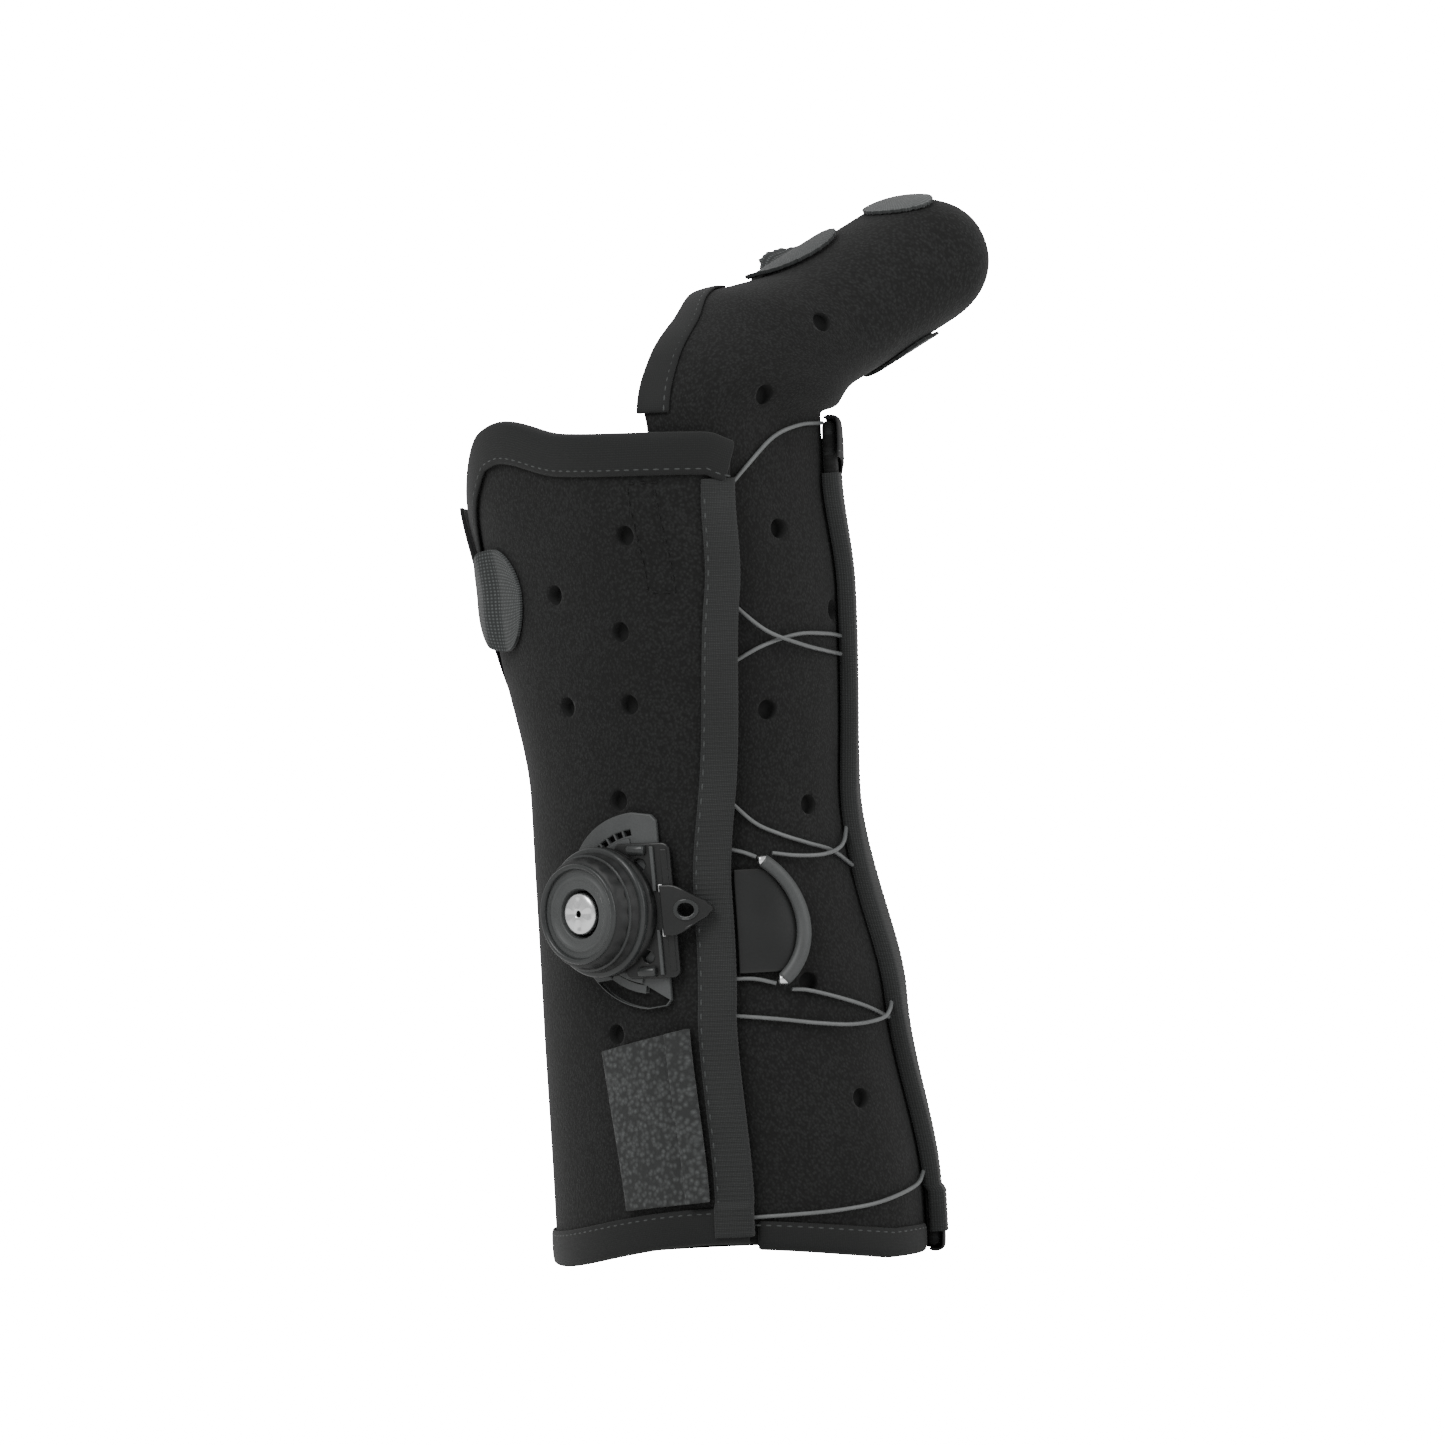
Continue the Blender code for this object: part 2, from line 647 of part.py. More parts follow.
def make_dial(base_finish, knob_finish, steel):
    place = dial_frame()
    axis = bpy.data.objects.new("dial_axis", None)
    axis.matrix_world = place
    PARTS.objects.link(axis)

    def flange_point(up, share, lift):
        height = up * FLANGE_HEIGHT / 2
        left = FLANGE_EDGE - 0.0035 - FLANGE_RADIUS * (1 - up * up) ** 0.5
        return dial_surface(height, left + (FLANGE_EDGE - left) * share, GAP + FLANGE_THICKNESS + lift)

    ups = [sin(radians(a)) * 0.995 for a in steps(14, -90, 90)]
    base = sheet("dial_base", base_finish, flange_point, ups, steps(7), FLANGE_THICKNESS)

    seat_low = GAP + FLANGE_THICKNESS / 2
    sides = 24
    bm = bmesh.new()
    radius = DIAL_SEAT_DIAMETER / 2
    rim_low, rim_high = [], []
    for i in range(sides):
        x, y = radius * cos(2 * pi * i / sides), radius * sin(2 * pi * i / sides)
        rim_low.append(bm.verts.new(dial_surface(y, x, seat_low)))
        rim_high.append(bm.verts.new(place @ Vector((x, y, DIAL_SEAT_HEIGHT))))
    low = bm.verts.new(dial_surface(0, 0, seat_low))
    high = bm.verts.new(place @ Vector((0, 0, DIAL_SEAT_HEIGHT)))
    for i in range(sides):
        j = (i + 1) % sides
        bm.faces.new((rim_low[i], rim_low[j], rim_high[j], rim_high[i]))
        bm.faces.new((rim_low[j], rim_low[i], low))
        bm.faces.new((rim_high[i], rim_high[j], high))
    data = bpy.data.meshes.new("dial_seat_form")
    bm.to_mesh(data)
    bm.free()
    cut(base, add_object("dial_seat_form", data, CUTTERS), "UNION")

    def housing_point(up, share, lift):
        across = HOUSING_START + (HOUSING_END - HOUSING_START) * share
        return dial_surface(up * HOUSING_HEIGHT / 2, across, HOUSING_THICKNESS + lift)

    housing = sheet("housing_form", None, housing_point, steps(6, -1, 1), steps(3),
                    HOUSING_THICKNESS - seat_low, collection=CUTTERS)
    cut(base, housing, "UNION")

    bm = bmesh.new()
    for up in (-1, 1):
        middle = dial_surface(up * (HOUSING_HEIGHT / 2 - PORT_INSET), HOUSING_START + PORT_SETBACK,
                              HOUSING_THICKNESS + GAP)
        lying = place.to_3x3().to_4x4() @ Matrix.Rotation(radians(90), 4, "Y")
        bmesh.ops.create_cone(bm, cap_ends=True, segments=10, radius1=PORT_DIAMETER / 2,
                              radius2=PORT_DIAMETER / 2, depth=PORT_LENGTH,
                              matrix=Matrix.Translation(middle) @ lying)
    data = bpy.data.meshes.new("port_form")
    bm.to_mesh(data)
    bm.free()
    cut(base, add_object("port_form", data, CUTTERS), "UNION")

    floor = DIAL_SEAT_HEIGHT + GAP
    bore = AXLE_DIAMETER / 2 + AXLE_CLEARANCE
    pocket = AXLE_CAP_DIAMETER / 2 + AXLE_CLEARANCE
    top = floor + KNOB_HEIGHT
    face = top - KNOB_FACE_DROP
    knob = turned("dial_knob", (
        (KNOB_RIM_DIAMETER / 2 - 0.0012, top), (KNOB_RIM_DIAMETER / 2, top - 0.0010),
        (KNOB_RIM_DIAMETER / 2, top - 0.0028), (KNOB_DIAMETER / 2, top - 0.0050),
        (KNOB_DIAMETER / 2, floor + 0.0010), (KNOB_DIAMETER / 2 - 0.0008, floor),
        (bore, floor), (bore, face - 0.0022), (pocket, face - 0.0022), (pocket, face),
        (KNOB_FACE_DIAMETER / 2, face), (KNOB_FACE_DIAMETER / 2 + 0.0005, top),
        (KNOB_RIM_DIAMETER / 2 - 0.0012, top)), knob_finish, 28)
    cap_low = face - 0.0022 + AXLE_CLEARANCE
    axle = turned("dial_axle", (
        (0.0, face + 0.0005), (AXLE_CAP_DIAMETER / 2 - 0.0006, face + 0.0005),
        (AXLE_CAP_DIAMETER / 2, face - 0.0002), (AXLE_CAP_DIAMETER / 2, cap_low),
        (AXLE_DIAMETER / 2, cap_low), (AXLE_DIAMETER / 2, floor), (0.0, floor)), steel, 16)
    for made in (knob, axle):
        made.parent = axis
        made.matrix_parent_inverse = Matrix.Identity(4)
    cut(axle, drills("axle_eye_drill", [place @ Matrix.Translation((0, 0, face + 0.0005))],
                     AXLE_EYE_DIAMETER, 0.002))


def make_keeper_tab(finish):
    def point(up, share, lift):
        taper = 1 - 0.72 * smooth((share - 0.2) / 0.8)
        across = KEEPER_START + KEEPER_LENGTH * share
        high = HOUSING_THICKNESS + CLOTH_GAP
        low = CLOTH_GAP + BINDING_EASE + RIBBON_THICKNESS + CLOTH_GAP
        settle = smooth((across - HOUSING_END - KEEPER_REST) / KEEPER_STEP)
        rise = high + (low - high) * settle + KEEPER_THICKNESS
        return dial_surface(up * taper * KEEPER_WIDTH / 2, across, rise + lift)

    made = sheet("keeper_tab", finish, point, steps(6, -1, 1), steps(10), KEEPER_THICKNESS)
    eye = surface_frame(lambda a, b, lift: point(a, b, lift), 0.0, 0.5)
    cut(made, drills("keeper_eye_drill", [eye], KEEPER_HOLE, 5 * KEEPER_THICKNESS))


def make_lace_guide(finish):
    middle = GUIDE_ANGLE - degrees(GUIDE_RADIUS / ring_radius(*section(GUIDE_HEIGHT)[:3], GUIDE_ANGLE))

    def spot(radius, sweep, lift):
        height = GUIDE_HEIGHT + radius * sin(radians(sweep))
        return skin(height, arc_turn(height, middle, radius * cos(radians(sweep))), lift)

    plate_low = GUTTER_FACE + CLOTH_GAP

    def band(sweep, share, lift):
        radius = GUIDE_RADIUS + GUIDE_BAND * (share - 0.5)
        return spot(radius, sweep, plate_low + GUIDE_PLATE / 2 + GUIDE_THICKNESS + lift)

    made = sheet("lace_guide", finish, band, steps(10, -GUIDE_HALF_SWEEP, GUIDE_HALF_SWEEP), steps(2),
                 GUIDE_THICKNESS)

    def plate(sweep, share, lift):
        height = GUIDE_HEIGHT + GUIDE_RADIUS * sin(radians(sweep))
        inner = dorsal_edge(height) + 1.6 * EDGE_CLEARANCE
        outer = arc_turn(height, middle, GUIDE_RADIUS * cos(radians(sweep)))
        return skin(height, inner + (outer - inner) * share, plate_low + GUIDE_PLATE + lift)

    reach = GUIDE_HALF_SWEEP - GUIDE_PLATE_INSET
    form = sheet("guide_plate_form", None, plate, steps(8, -reach, reach), steps(5), GUIDE_PLATE,
                 collection=CUTTERS)
    cut(made, form, "UNION")


def smooth_route(points, step):
    """Points at even distances on a smooth curve through the route's own points."""
    ends = [2 * points[0] - points[1]] + points + [2 * points[-1] - points[-2]]
    fine = []
    for a, b, c, d in zip(ends, ends[1:], ends[2:], ends[3:]):
        for t in steps(12)[:-1]:
            fine.append(0.5 * (2 * b + (c - a) * t + (2 * a - 5 * b + 4 * c - d) * t * t
                               + (3 * b - a - 3 * c + d) * t * t * t))
    fine.append(points[-1])
    lengths = [0.0]
    for a, b in zip(fine, fine[1:]):
        lengths.append(lengths[-1] + (b - a).length)
    count = max(round(lengths[-1] / step), 2)
    even, i = [], 0
    for k in range(count + 1):
        want = lengths[-1] * k / count
        while i < len(lengths) - 2 and lengths[i + 1] < want:
            i += 1
        share = (want - lengths[i]) / max(lengths[i + 1] - lengths[i], 1e-9)
        even.append(fine[i].lerp(fine[i + 1], min(share, 1.0)))
    return even


def make_laces(finish):
    for name, route in LACE_ROUTES.items():
        points = []
        for i, (angle, height, over) in enumerate(route):
            if angle is None:
                angle = dorsal_edge(height) + EDGE_CLEARANCE if i == 0 else volar_edge(height) - EDGE_CLEARANCE
            points.append(skin(height, angle, LACE_LIFT + over * LACE_RISE))
        even = smooth_route(points, LACE_STEP)
        data = bpy.data.curves.new(name, "CURVE")
        data.dimensions = "3D"
        data.bevel_depth = LACE_DIAMETER / 2
        data.bevel_resolution = 2
        data.use_fill_caps = True
        line = data.splines.new("POLY")
        line.points.add(len(even) - 1)
        for spot, where in zip(line.points, even):
            spot.co = (*where, 1)
        add_object(name, data, PARTS, finish)


def make_pull_tab(finish):
    corners = [(angle, share * PANEL_HEIGHT) for angle, share in PULL_TAB_CORNERS]
    low = CLOTH_GAP + PULL_TAB_THICKNESS / 2
    high = low + PULL_TAB_THICKNESS + 2 * GAP
    shares = steps(6) + [1.0 + 0.35 * PULL_TAB_THICKNESS / PULL_TAB_FOLD, 1.0, 0.87, 0.74]
    lifts = [low] * 7 + [(low + high) / 2, high, high, high]

    def point(up, i, lift):
        share = shares[i]
        left_angle = corners[3][0] + (corners[0][0] - corners[3][0]) * up
        right_angle = corners[2][0] + (corners[1][0] - corners[2][0]) * up
        bottom = corners[3][1] + (corners[2][1] - corners[3][1]) * share
        top = corners[0][1] + (corners[1][1] - corners[0][1]) * share
        return skin(bottom + (top - bottom) * up, left_angle + (right_angle - left_angle) * share,
                    lifts[i] + lift)

    sheet("pull_tab", finish, point, steps(6), range(len(shares)), PULL_TAB_THICKNESS, side=0)


def make_web_strap(strap_finish, tab_finish):
    low = CLOTH_GAP + BINDING_THICKNESS + STRAP_CLEARANCE

    def strap(share, across, lift):
        lower, upper, bottom, top = along(WEB_STRAP, share)
        height = (bottom + (top - bottom) * across) * PANEL_HEIGHT
        return skin(height, lower + (upper - lower) * across, low + STRAP_THICKNESS + lift)

    sheet("web_strap", strap_finish, strap, steps(12), steps(3), STRAP_THICKNESS)

    angle, share, half_turn, half_height = WEB_TAB

    def tab(radius, turn, lift):
        where = angle + half_turn * radius * cos(radians(turn))
        start, end = WEB_TAB_STEP
        settle = smooth((where - start) / (end - start))
        rise = low + STRAP_THICKNESS + CLOTH_GAP
        rise += (CLOTH_GAP - rise) * settle
        return skin(share * PANEL_HEIGHT + half_height * radius * sin(radians(turn)), where,
                    rise + TAB_THICKNESS + lift)

    disc("web_hook_tab", tab_finish, tab, TAB_THICKNESS)


def disc(name, finish, place, thickness):
    """An oval wall through place(radius share, turn, lift)."""
    return sheet(name, finish, place, [0.0, 0.35, 0.7, 1.0], steps(16, 0, 360), thickness)


def make_finger_tabs(finish):
    for number, (stage, angle, half_stage, half_angle, clearance) in enumerate(FINGER_TABS, start=1):
        def place(radius, turn, lift):
            where = stage + half_stage * radius * cos(radians(turn))
            round_at = angle + half_angle * radius * sin(radians(turn))
            rise = clearance + TAB_THICKNESS + pocket_top(where, round_at)
            return finger_skin(where, round_at, rise + lift)
        disc(f"finger_hook_tab_{number}", finish, place, TAB_THICKNESS)


for old in list(bpy.data.objects):
    bpy.data.objects.remove(old)
PARTS = bpy.data.collections.new("boxer_fracture_brace")
CUTTERS = bpy.data.collections.new("cutters")
bpy.context.scene.collection.children.link(PARTS)
bpy.context.scene.collection.children.link(CUTTERS)

KNIT = material("charcoal_knit", (0.016, 0.016, 0.018), 0.95)
TAPE = material("smooth_binding", (0.020, 0.020, 0.022), 0.8)
RIBBED = material("ribbed_ribbon", (0.033, 0.033, 0.035), 0.85)
HOOK = material("grey_hook_tab", (0.068, 0.072, 0.072), 0.8)
GREY_PLASTIC = material("grey_plastic", (0.115, 0.120, 0.120), 0.45)
BLACK_PLASTIC = material("black_plastic", (0.018, 0.018, 0.019), 0.35)
STEEL = material("bright_steel", (0.62, 0.62, 0.62), 0.28, 1.0)
CORD = material("grey_lace", (0.09, 0.09, 0.09), 0.4)

make_main_shell(KNIT)
make_gutter_shell(KNIT)
make_bindings(TAPE)
make_ribbons(RIBBED)
make_dial(GREY_PLASTIC, BLACK_PLASTIC, STEEL)
make_keeper_tab(BLACK_PLASTIC)
make_lace_guide(GREY_PLASTIC)
make_laces(CORD)
make_pull_tab(HOOK)
make_web_strap(TAPE, HOOK)
make_finger_tabs(HOOK)
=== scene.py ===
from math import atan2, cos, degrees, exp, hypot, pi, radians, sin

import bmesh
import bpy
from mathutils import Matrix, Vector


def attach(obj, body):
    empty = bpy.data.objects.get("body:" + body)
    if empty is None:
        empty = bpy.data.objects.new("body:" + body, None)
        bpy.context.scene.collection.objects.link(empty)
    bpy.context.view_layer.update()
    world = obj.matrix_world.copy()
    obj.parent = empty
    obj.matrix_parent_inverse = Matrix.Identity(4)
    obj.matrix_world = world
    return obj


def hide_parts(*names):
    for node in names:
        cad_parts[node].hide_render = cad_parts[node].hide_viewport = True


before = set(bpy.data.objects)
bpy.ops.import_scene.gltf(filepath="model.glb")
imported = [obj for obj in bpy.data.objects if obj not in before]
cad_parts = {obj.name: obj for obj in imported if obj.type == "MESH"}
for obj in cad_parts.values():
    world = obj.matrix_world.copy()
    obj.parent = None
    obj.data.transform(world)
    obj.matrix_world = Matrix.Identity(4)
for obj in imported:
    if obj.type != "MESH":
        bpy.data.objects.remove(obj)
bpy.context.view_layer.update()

# %% [markdown]
# A boxer fracture brace for a right hand stands on its forearm rim. It is made of a few
# layers: an outer wrap of knit-faced foam, an inner gutter that bends over the knuckles
# and closes round two fingers, tape and ribbon over the cut edges, and a dial that pulls
# a thin lace. The imported solids are the frame, and each soft one is replaced here by a
# finer piece on the same spot.

MM = 0.001
scene = bpy.context.scene

# %% [markdown]
# The brace is looked at from the back-of-hand side with a long lens, so it shows almost
# no perspective. The camera is built from three directions: along the picture's width,
# up, and towards the viewer. A slight roll leans the forearm as the picture does.

# %% Camera
AZIMUTH = radians(49)
ELEVATION = radians(1.0)
ROLL = radians(2.97)
FRAME_WIDTH = 346.8 * MM
CAMERA_DISTANCE = 3.0
PICTURE_RIGHT = Vector((cos(AZIMUTH), sin(AZIMUTH), 0))
TO_VIEWER = Vector((sin(AZIMUTH), -cos(AZIMUTH), 0))
UP = Vector((0, 0, 1))

middle_of_view = PICTURE_RIGHT * -3.0 * MM + UP * 128.4 * MM
back = TO_VIEWER * cos(ELEVATION) + UP * sin(ELEVATION)
rise = UP * cos(ELEVATION) - TO_VIEWER * sin(ELEVATION)
camera_data = bpy.data.cameras.new("camera")
camera_data.sensor_width = 36
camera_data.lens = camera_data.sensor_width * CAMERA_DISTANCE / FRAME_WIDTH
camera = bpy.data.objects.new("camera", camera_data)
side = PICTURE_RIGHT * cos(ROLL) - rise * sin(ROLL)
head = PICTURE_RIGHT * sin(ROLL) + rise * cos(ROLL)
camera.matrix_world = (Matrix.Translation(middle_of_view + back * CAMERA_DISTANCE)
                       @ Matrix((side, head, back)).transposed().to_4x4())
scene.collection.objects.link(camera)
scene.camera = camera
print("lens", round(camera_data.lens), "mm at", CAMERA_DISTANCE, "m")

# %% [markdown]
# Colours are written as the hex values that a picture shows, which are sRGB, and shaders
# want linear light, so one function turns them. A second function adds a shader node with
# its settings and links in one line, which keeps the materials below short.

# %% Colour and node helpers
def linear(colour):
    """A linear colour with alpha from an sRGB hex value."""
    parts = [int(colour[i:i + 2], 16) / 255 for i in (1, 3, 5)]
    return (*[c / 12.92 if c <= 0.04045 else ((c + 0.055) / 1.055) ** 2.4 for c in parts], 1.0)


def node(tree, kind, settings=None, inputs=None):
    """A shader node with its settings, and its inputs given as values or as sockets."""
    made = tree.nodes.new(kind)
    for name, value in (settings or {}).items():
        setattr(made, name, value)
    for name, value in (inputs or {}).items():
        if isinstance(value, bpy.types.NodeSocket):
            tree.links.new(value, made.inputs[name])
        else:
            made.inputs[name].default_value = value
    return made


def new_material(name, roughness, metallic=0.0, **sockets):
    """A material with its shader and tree, plain values set on the shader's own sockets."""
    made = bpy.data.materials.new(name)
    made.use_nodes = True
    tree = made.node_tree
    shader = tree.nodes["Principled BSDF"]
    shader.inputs["Roughness"].default_value = roughness
    shader.inputs["Metallic"].default_value = metallic
    for socket, value in sockets.items():
        shader.inputs[socket.replace("_", " ")].default_value = value
    return made, tree, shader


def math_node(tree, operation, *values, clamp=False):
    """The result of a maths node on values or sockets."""
    settings = {"operation": operation, "use_clamp": clamp}
    return node(tree, "ShaderNodeMath", settings, dict(enumerate(values))).outputs[0]


def noise(tree, vector, scale, detail):
    """A noise texture's value."""
    inputs = {"Vector": vector, "Scale": scale, "Detail": detail}
    return node(tree, "ShaderNodeTexNoise", inputs=inputs).outputs["Fac"]


def colour_and_bump(tree, shader, share, dark, light, height, relief, strength):
    """A mix of two colours by a share, and a bump of a real height."""
    colour = node(tree, "ShaderNodeMixRGB",
                  inputs={"Fac": share, "Color1": linear(dark), "Color2": linear(light)})
    bump = node(tree, "ShaderNodeBump",
                inputs={"Height": height, "Distance": relief, "Strength": strength})
    tree.links.new(colour.outputs[0], shader.inputs["Base Color"])
    tree.links.new(bump.outputs[0], shader.inputs["Normal"])


# %% [markdown]
# The room is a pale floor under an even white sky, with one large soft lamp high on the
# left and a weaker one on the right. Dark cloth shows its shape only through soft
# reflections, so the lamps are wide. Floor and sky look far brighter to the camera than
# they light the brace, so that they come out white and the cloth stays dark.

# %% Floor, sky and lamps
SKY_LIGHT = 0.75
BACKDROP_LIGHT = 24.0

floor_paint, tree, shader = new_material("pale_studio_paint", 0.9)
shader.inputs["Emission Color"].default_value = linear("#ffffff")
seen = node(tree, "ShaderNodeLightPath")
glow = math_node(tree, "MULTIPLY", seen.outputs["Is Camera Ray"], BACKDROP_LIGHT)
tree.links.new(glow, shader.inputs["Emission Strength"])
paint_noise = node(tree, "ShaderNodeTexNoise", inputs={"Scale": 3.0})
paint_mix = node(tree, "ShaderNodeMixRGB", inputs={"Fac": paint_noise.outputs["Fac"],
                                                   "Color1": linear("#f4f4f3"), "Color2": linear("#f8f8f8")})
tree.links.new(paint_mix.outputs[0], shader.inputs["Base Color"])

bm = bmesh.new()
bmesh.ops.create_circle(bm, cap_ends=True, segments=64, radius=9.0)
floor_mesh = bpy.data.meshes.new("floor")
bm.to_mesh(floor_mesh)
bm.free()
floor = bpy.data.objects.new("floor", floor_mesh)
floor_mesh.materials.append(floor_paint)
scene.collection.objects.link(floor)

sky = bpy.data.worlds.new("sky")
sky.use_nodes = True
tree = sky.node_tree
tree.nodes["Background"].inputs["Color"].default_value = linear("#ffffff")
tree.nodes["Background"].inputs["Strength"].default_value = SKY_LIGHT
backdrop = node(tree, "ShaderNodeBackground",
                inputs={"Color": linear("#ffffff"), "Strength": BACKDROP_LIGHT})
seen = node(tree, "ShaderNodeLightPath")
blend = node(tree, "ShaderNodeMixShader", inputs={
    0: seen.outputs["Is Camera Ray"],
    1: tree.nodes["Background"].outputs[0],
    2: backdrop.outputs[0],
})
tree.links.new(blend.outputs[0], tree.nodes["World Output"].inputs["Surface"])
scene.world = sky


def lamp(name, place, size, power):
    """A square area lamp that faces the brace."""
    data = bpy.data.lights.new(name, "AREA")
    data.size = size
    data.energy = power
    made = bpy.data.objects.new(name, data)
    facing = (Vector(place) - middle_of_view).to_track_quat("Z", "Y").to_matrix().to_4x4()
    made.matrix_world = Matrix.Translation(place) @ facing
    scene.collection.objects.link(made)


lamp("key", TO_VIEWER * 1.0 - PICTURE_RIGHT * 0.7 + UP * 1.3, 0.9, 22)
lamp("fill", TO_VIEWER * 0.7 + PICTURE_RIGHT * 1.3 + UP * 0.7, 1.2, 12)
print("lamps set")

# %% [markdown]
# Every soft piece lies on one of two surfaces. The first is the wrap round the arm, a
# rounded section whose width, depth and squareness change with height. The numbers are
# the same named sizes as in the solids, because the pieces have to lie where the solids
# are. Angles go round the arm from the little-finger side, negative over the back of the
# hand. A lift is a distance outward from the outer face of the wrap.

# %% Sizes of the wrap
PANEL_HEIGHT = 0.199
PANEL_WALL = 0.003
FOREARM_WIDTH = 0.102
FOREARM_DEPTH = 0.084
HAND_SIDE_SHIFT = 0.004
HAND_BACK_SHIFT = 0.0133
RIM_ARCH = 0.0058
RIM_ARCH_MIDDLE = -50.0
RIM_ARCH_REACH = 82.0
RIM_BASE = 0.0014
ARM_RADIUS = (FOREARM_WIDTH + FOREARM_DEPTH) / 4
FOREARM_CENTRE = Vector((0.0020, -0.0066, 0.0))
GUTTER_WALL = 0.003
GUTTER_OVERLAP = 28.0
GUTTER_DROP = 0.0015
GUTTER_FACE = -0.0037

# height share, width share, depth share, squareness, side shift, back shift
SECTIONS = (
    (0.075, 1.000, 1.000, 2.0, 0.00, -0.05),
    (0.312, 0.940, 0.944, 2.0, 0.12, 0.22),
    (0.563, 0.854, 0.842, 2.0, 0.62, 0.54),
    (0.804, 0.897, 0.848, 2.5, 0.75, 0.78),
    (0.935, 0.888, 0.845, 2.8, 1.00, 1.00),
)
# height share, angle
DORSAL_EDGE = (
    (0.00, -40.5), (0.28, -39.0), (0.45, -34.3), (0.56, -28.3), (0.76, -22.5), (1.00, -16.5),
)
VOLAR_EDGE = ((0.00, 29.0), (0.25, 24.5), (0.42, 18.5), (0.55, 24.0), (0.66, 28.0), (1.00, 27.5))
# angle, height share
TOP_OUTLINE = (
    (-16.5, 0.985), (-24.0, 0.996), (-78.0, 1.003), (-112.0, 1.022), (-125.0, 1.012),
    (-138.0, 0.960), (-148.0, 0.870), (-159.0, 0.765), (-174.0, 0.660), (-190.0, 0.640),
    (-205.0, 0.700), (-219.0, 0.840), (-236.0, 0.925), (-290.0, 0.945), (-332.5, 1.010),
)


def smooth(t):
    """Ease from 0 to 1 with flat ends."""
    t = min(max(t, 0.0), 1.0)
    return t * t * (3 - 2 * t)


def slope_at(rows, i, column):
    """Slope of a smooth curve through a column at a row, flat where the column turns."""
    if i == 0 or i == len(rows) - 1:
        return 0.0
    before = (rows[i][column] - rows[i - 1][column]) / (rows[i][0] - rows[i - 1][0])
    after = (rows[i + 1][column] - rows[i][column]) / (rows[i + 1][0] - rows[i][0])
    return 2 * before * after / (before + after) if before * after > 0 else 0.0


def along(table, value, ease=False):
    """Columns after the first, read off a smooth curve through a table's rows."""
    rows = table if table[-1][0] > table[0][0] else tuple(reversed(table))
    if value <= rows[0][0]:
        return list(rows[0][1:])
    if value >= rows[-1][0]:
        return list(rows[-1][1:])
    i = next(i for i in range(len(rows) - 1) if value <= rows[i + 1][0])
    span = rows[i + 1][0] - rows[i][0]
    t = (value - rows[i][0]) / span
    found = []
    for column in range(1, len(rows[0])):
        bend = 0.0
        if not ease:
            here, there = slope_at(rows, i, column), slope_at(rows, i + 1, column)
            bend = span * t * (1 - t) * (here * (1 - t) - there * t)
        found.append(rows[i][column] + (rows[i + 1][column] - rows[i][column]) * smooth(t) + bend)
    return found


def section(height):
    """Half width, half depth, squareness and centre of the wrap at a height."""
    width, depth, square, x, y = along(SECTIONS, height / PANEL_HEIGHT, ease=True)
    return (width * FOREARM_WIDTH / 2, depth * FOREARM_DEPTH / 2, square,
            -x * HAND_SIDE_SHIFT, -y * HAND_BACK_SHIFT)


def ring_radius(half_width, half_depth, square, angle):
    """Distance from the centre of a rounded section to its edge."""
    across = abs(cos(radians(angle)) / half_width) ** square
    deep = abs(sin(radians(angle)) / half_depth) ** square
    return (across + deep) ** (-1 / square)


def ring_point(half_width, half_depth, square, angle, lift):
    """A point of a rounded section, lifted square to it."""
    across, deep = cos(radians(angle)), sin(radians(angle))
    out_x = abs(across / half_width) ** (square - 1) / half_width * (1 if across > 0 else -1)
    out_y = abs(deep / half_depth) ** (square - 1) / half_depth * (1 if deep > 0 else -1)
    size = hypot(out_x, out_y)
    r = ring_radius(half_width, half_depth, square, angle)
    return r * across + lift * out_x / size, r * deep + lift * out_y / size


def skin(height, angle, lift=0.0):
    """A point of the wrap."""
    half_width, half_depth, square, x, y = section(height)
    across, deep = ring_point(half_width, half_depth, square, angle, lift)
    return FOREARM_CENTRE + Vector((x + across, y + deep, height))


def dorsal_edge(height):
    return along(DORSAL_EDGE, height / PANEL_HEIGHT)[0]


def volar_edge(height):
    return along(VOLAR_EDGE, height / PANEL_HEIGHT)[0]


def arc_turn(height, angle, distance):
    """Angle a distance further round the wrap."""
    half_width, half_depth, square = section(height)[:3]
    return angle + degrees(distance / ring_radius(half_width, half_depth, square, angle))


def rim_arch(angle):
    away = abs((angle - RIM_ARCH_MIDDLE + 180) % 360 - 180)
    return RIM_ARCH * smooth(1 - away / RIM_ARCH_REACH)


def panel_bottom(angle):
    return RIM_BASE + rim_arch(angle)


def panel_top(angle):
    return along(TOP_OUTLINE, angle)[0] * PANEL_HEIGHT - RIM_BASE


def panel_angle(height, across):
    start = dorsal_edge(height)
    return start + (volar_edge(height) - 360 - start) * across


def panel_edge(across, outline):
    """Angle and height of the panels' upper or lower outline."""
    height = PANEL_HEIGHT if outline is panel_top else 0.0
    for _ in range(6):
        angle = panel_angle(height, across)
        height = outline(angle)
    return angle, height


def panel_point(up, across, lift):
    """A point of the panels at shares of the way up and round."""
    low = panel_edge(across, panel_bottom)[1]
    high = panel_edge(across, panel_top)[1]
    height = low + (high - low) * up
    return skin(height, panel_angle(height, across), lift)


print("forearm end", round(FOREARM_WIDTH / MM), "by", round(FOREARM_DEPTH / MM), "mm")

# %% [markdown]
# The second surface is the inner layer. Below the knuckles it lies just inside the wrap,
# and above them it turns by about 67 degrees, narrows, and closes into a pocket for two
# fingers. It is described in stages: -1 to 0 climbs the arm, 0 to 1 bends, 1 to 2 runs
# straight, and 2 to 3 rounds off the tip.

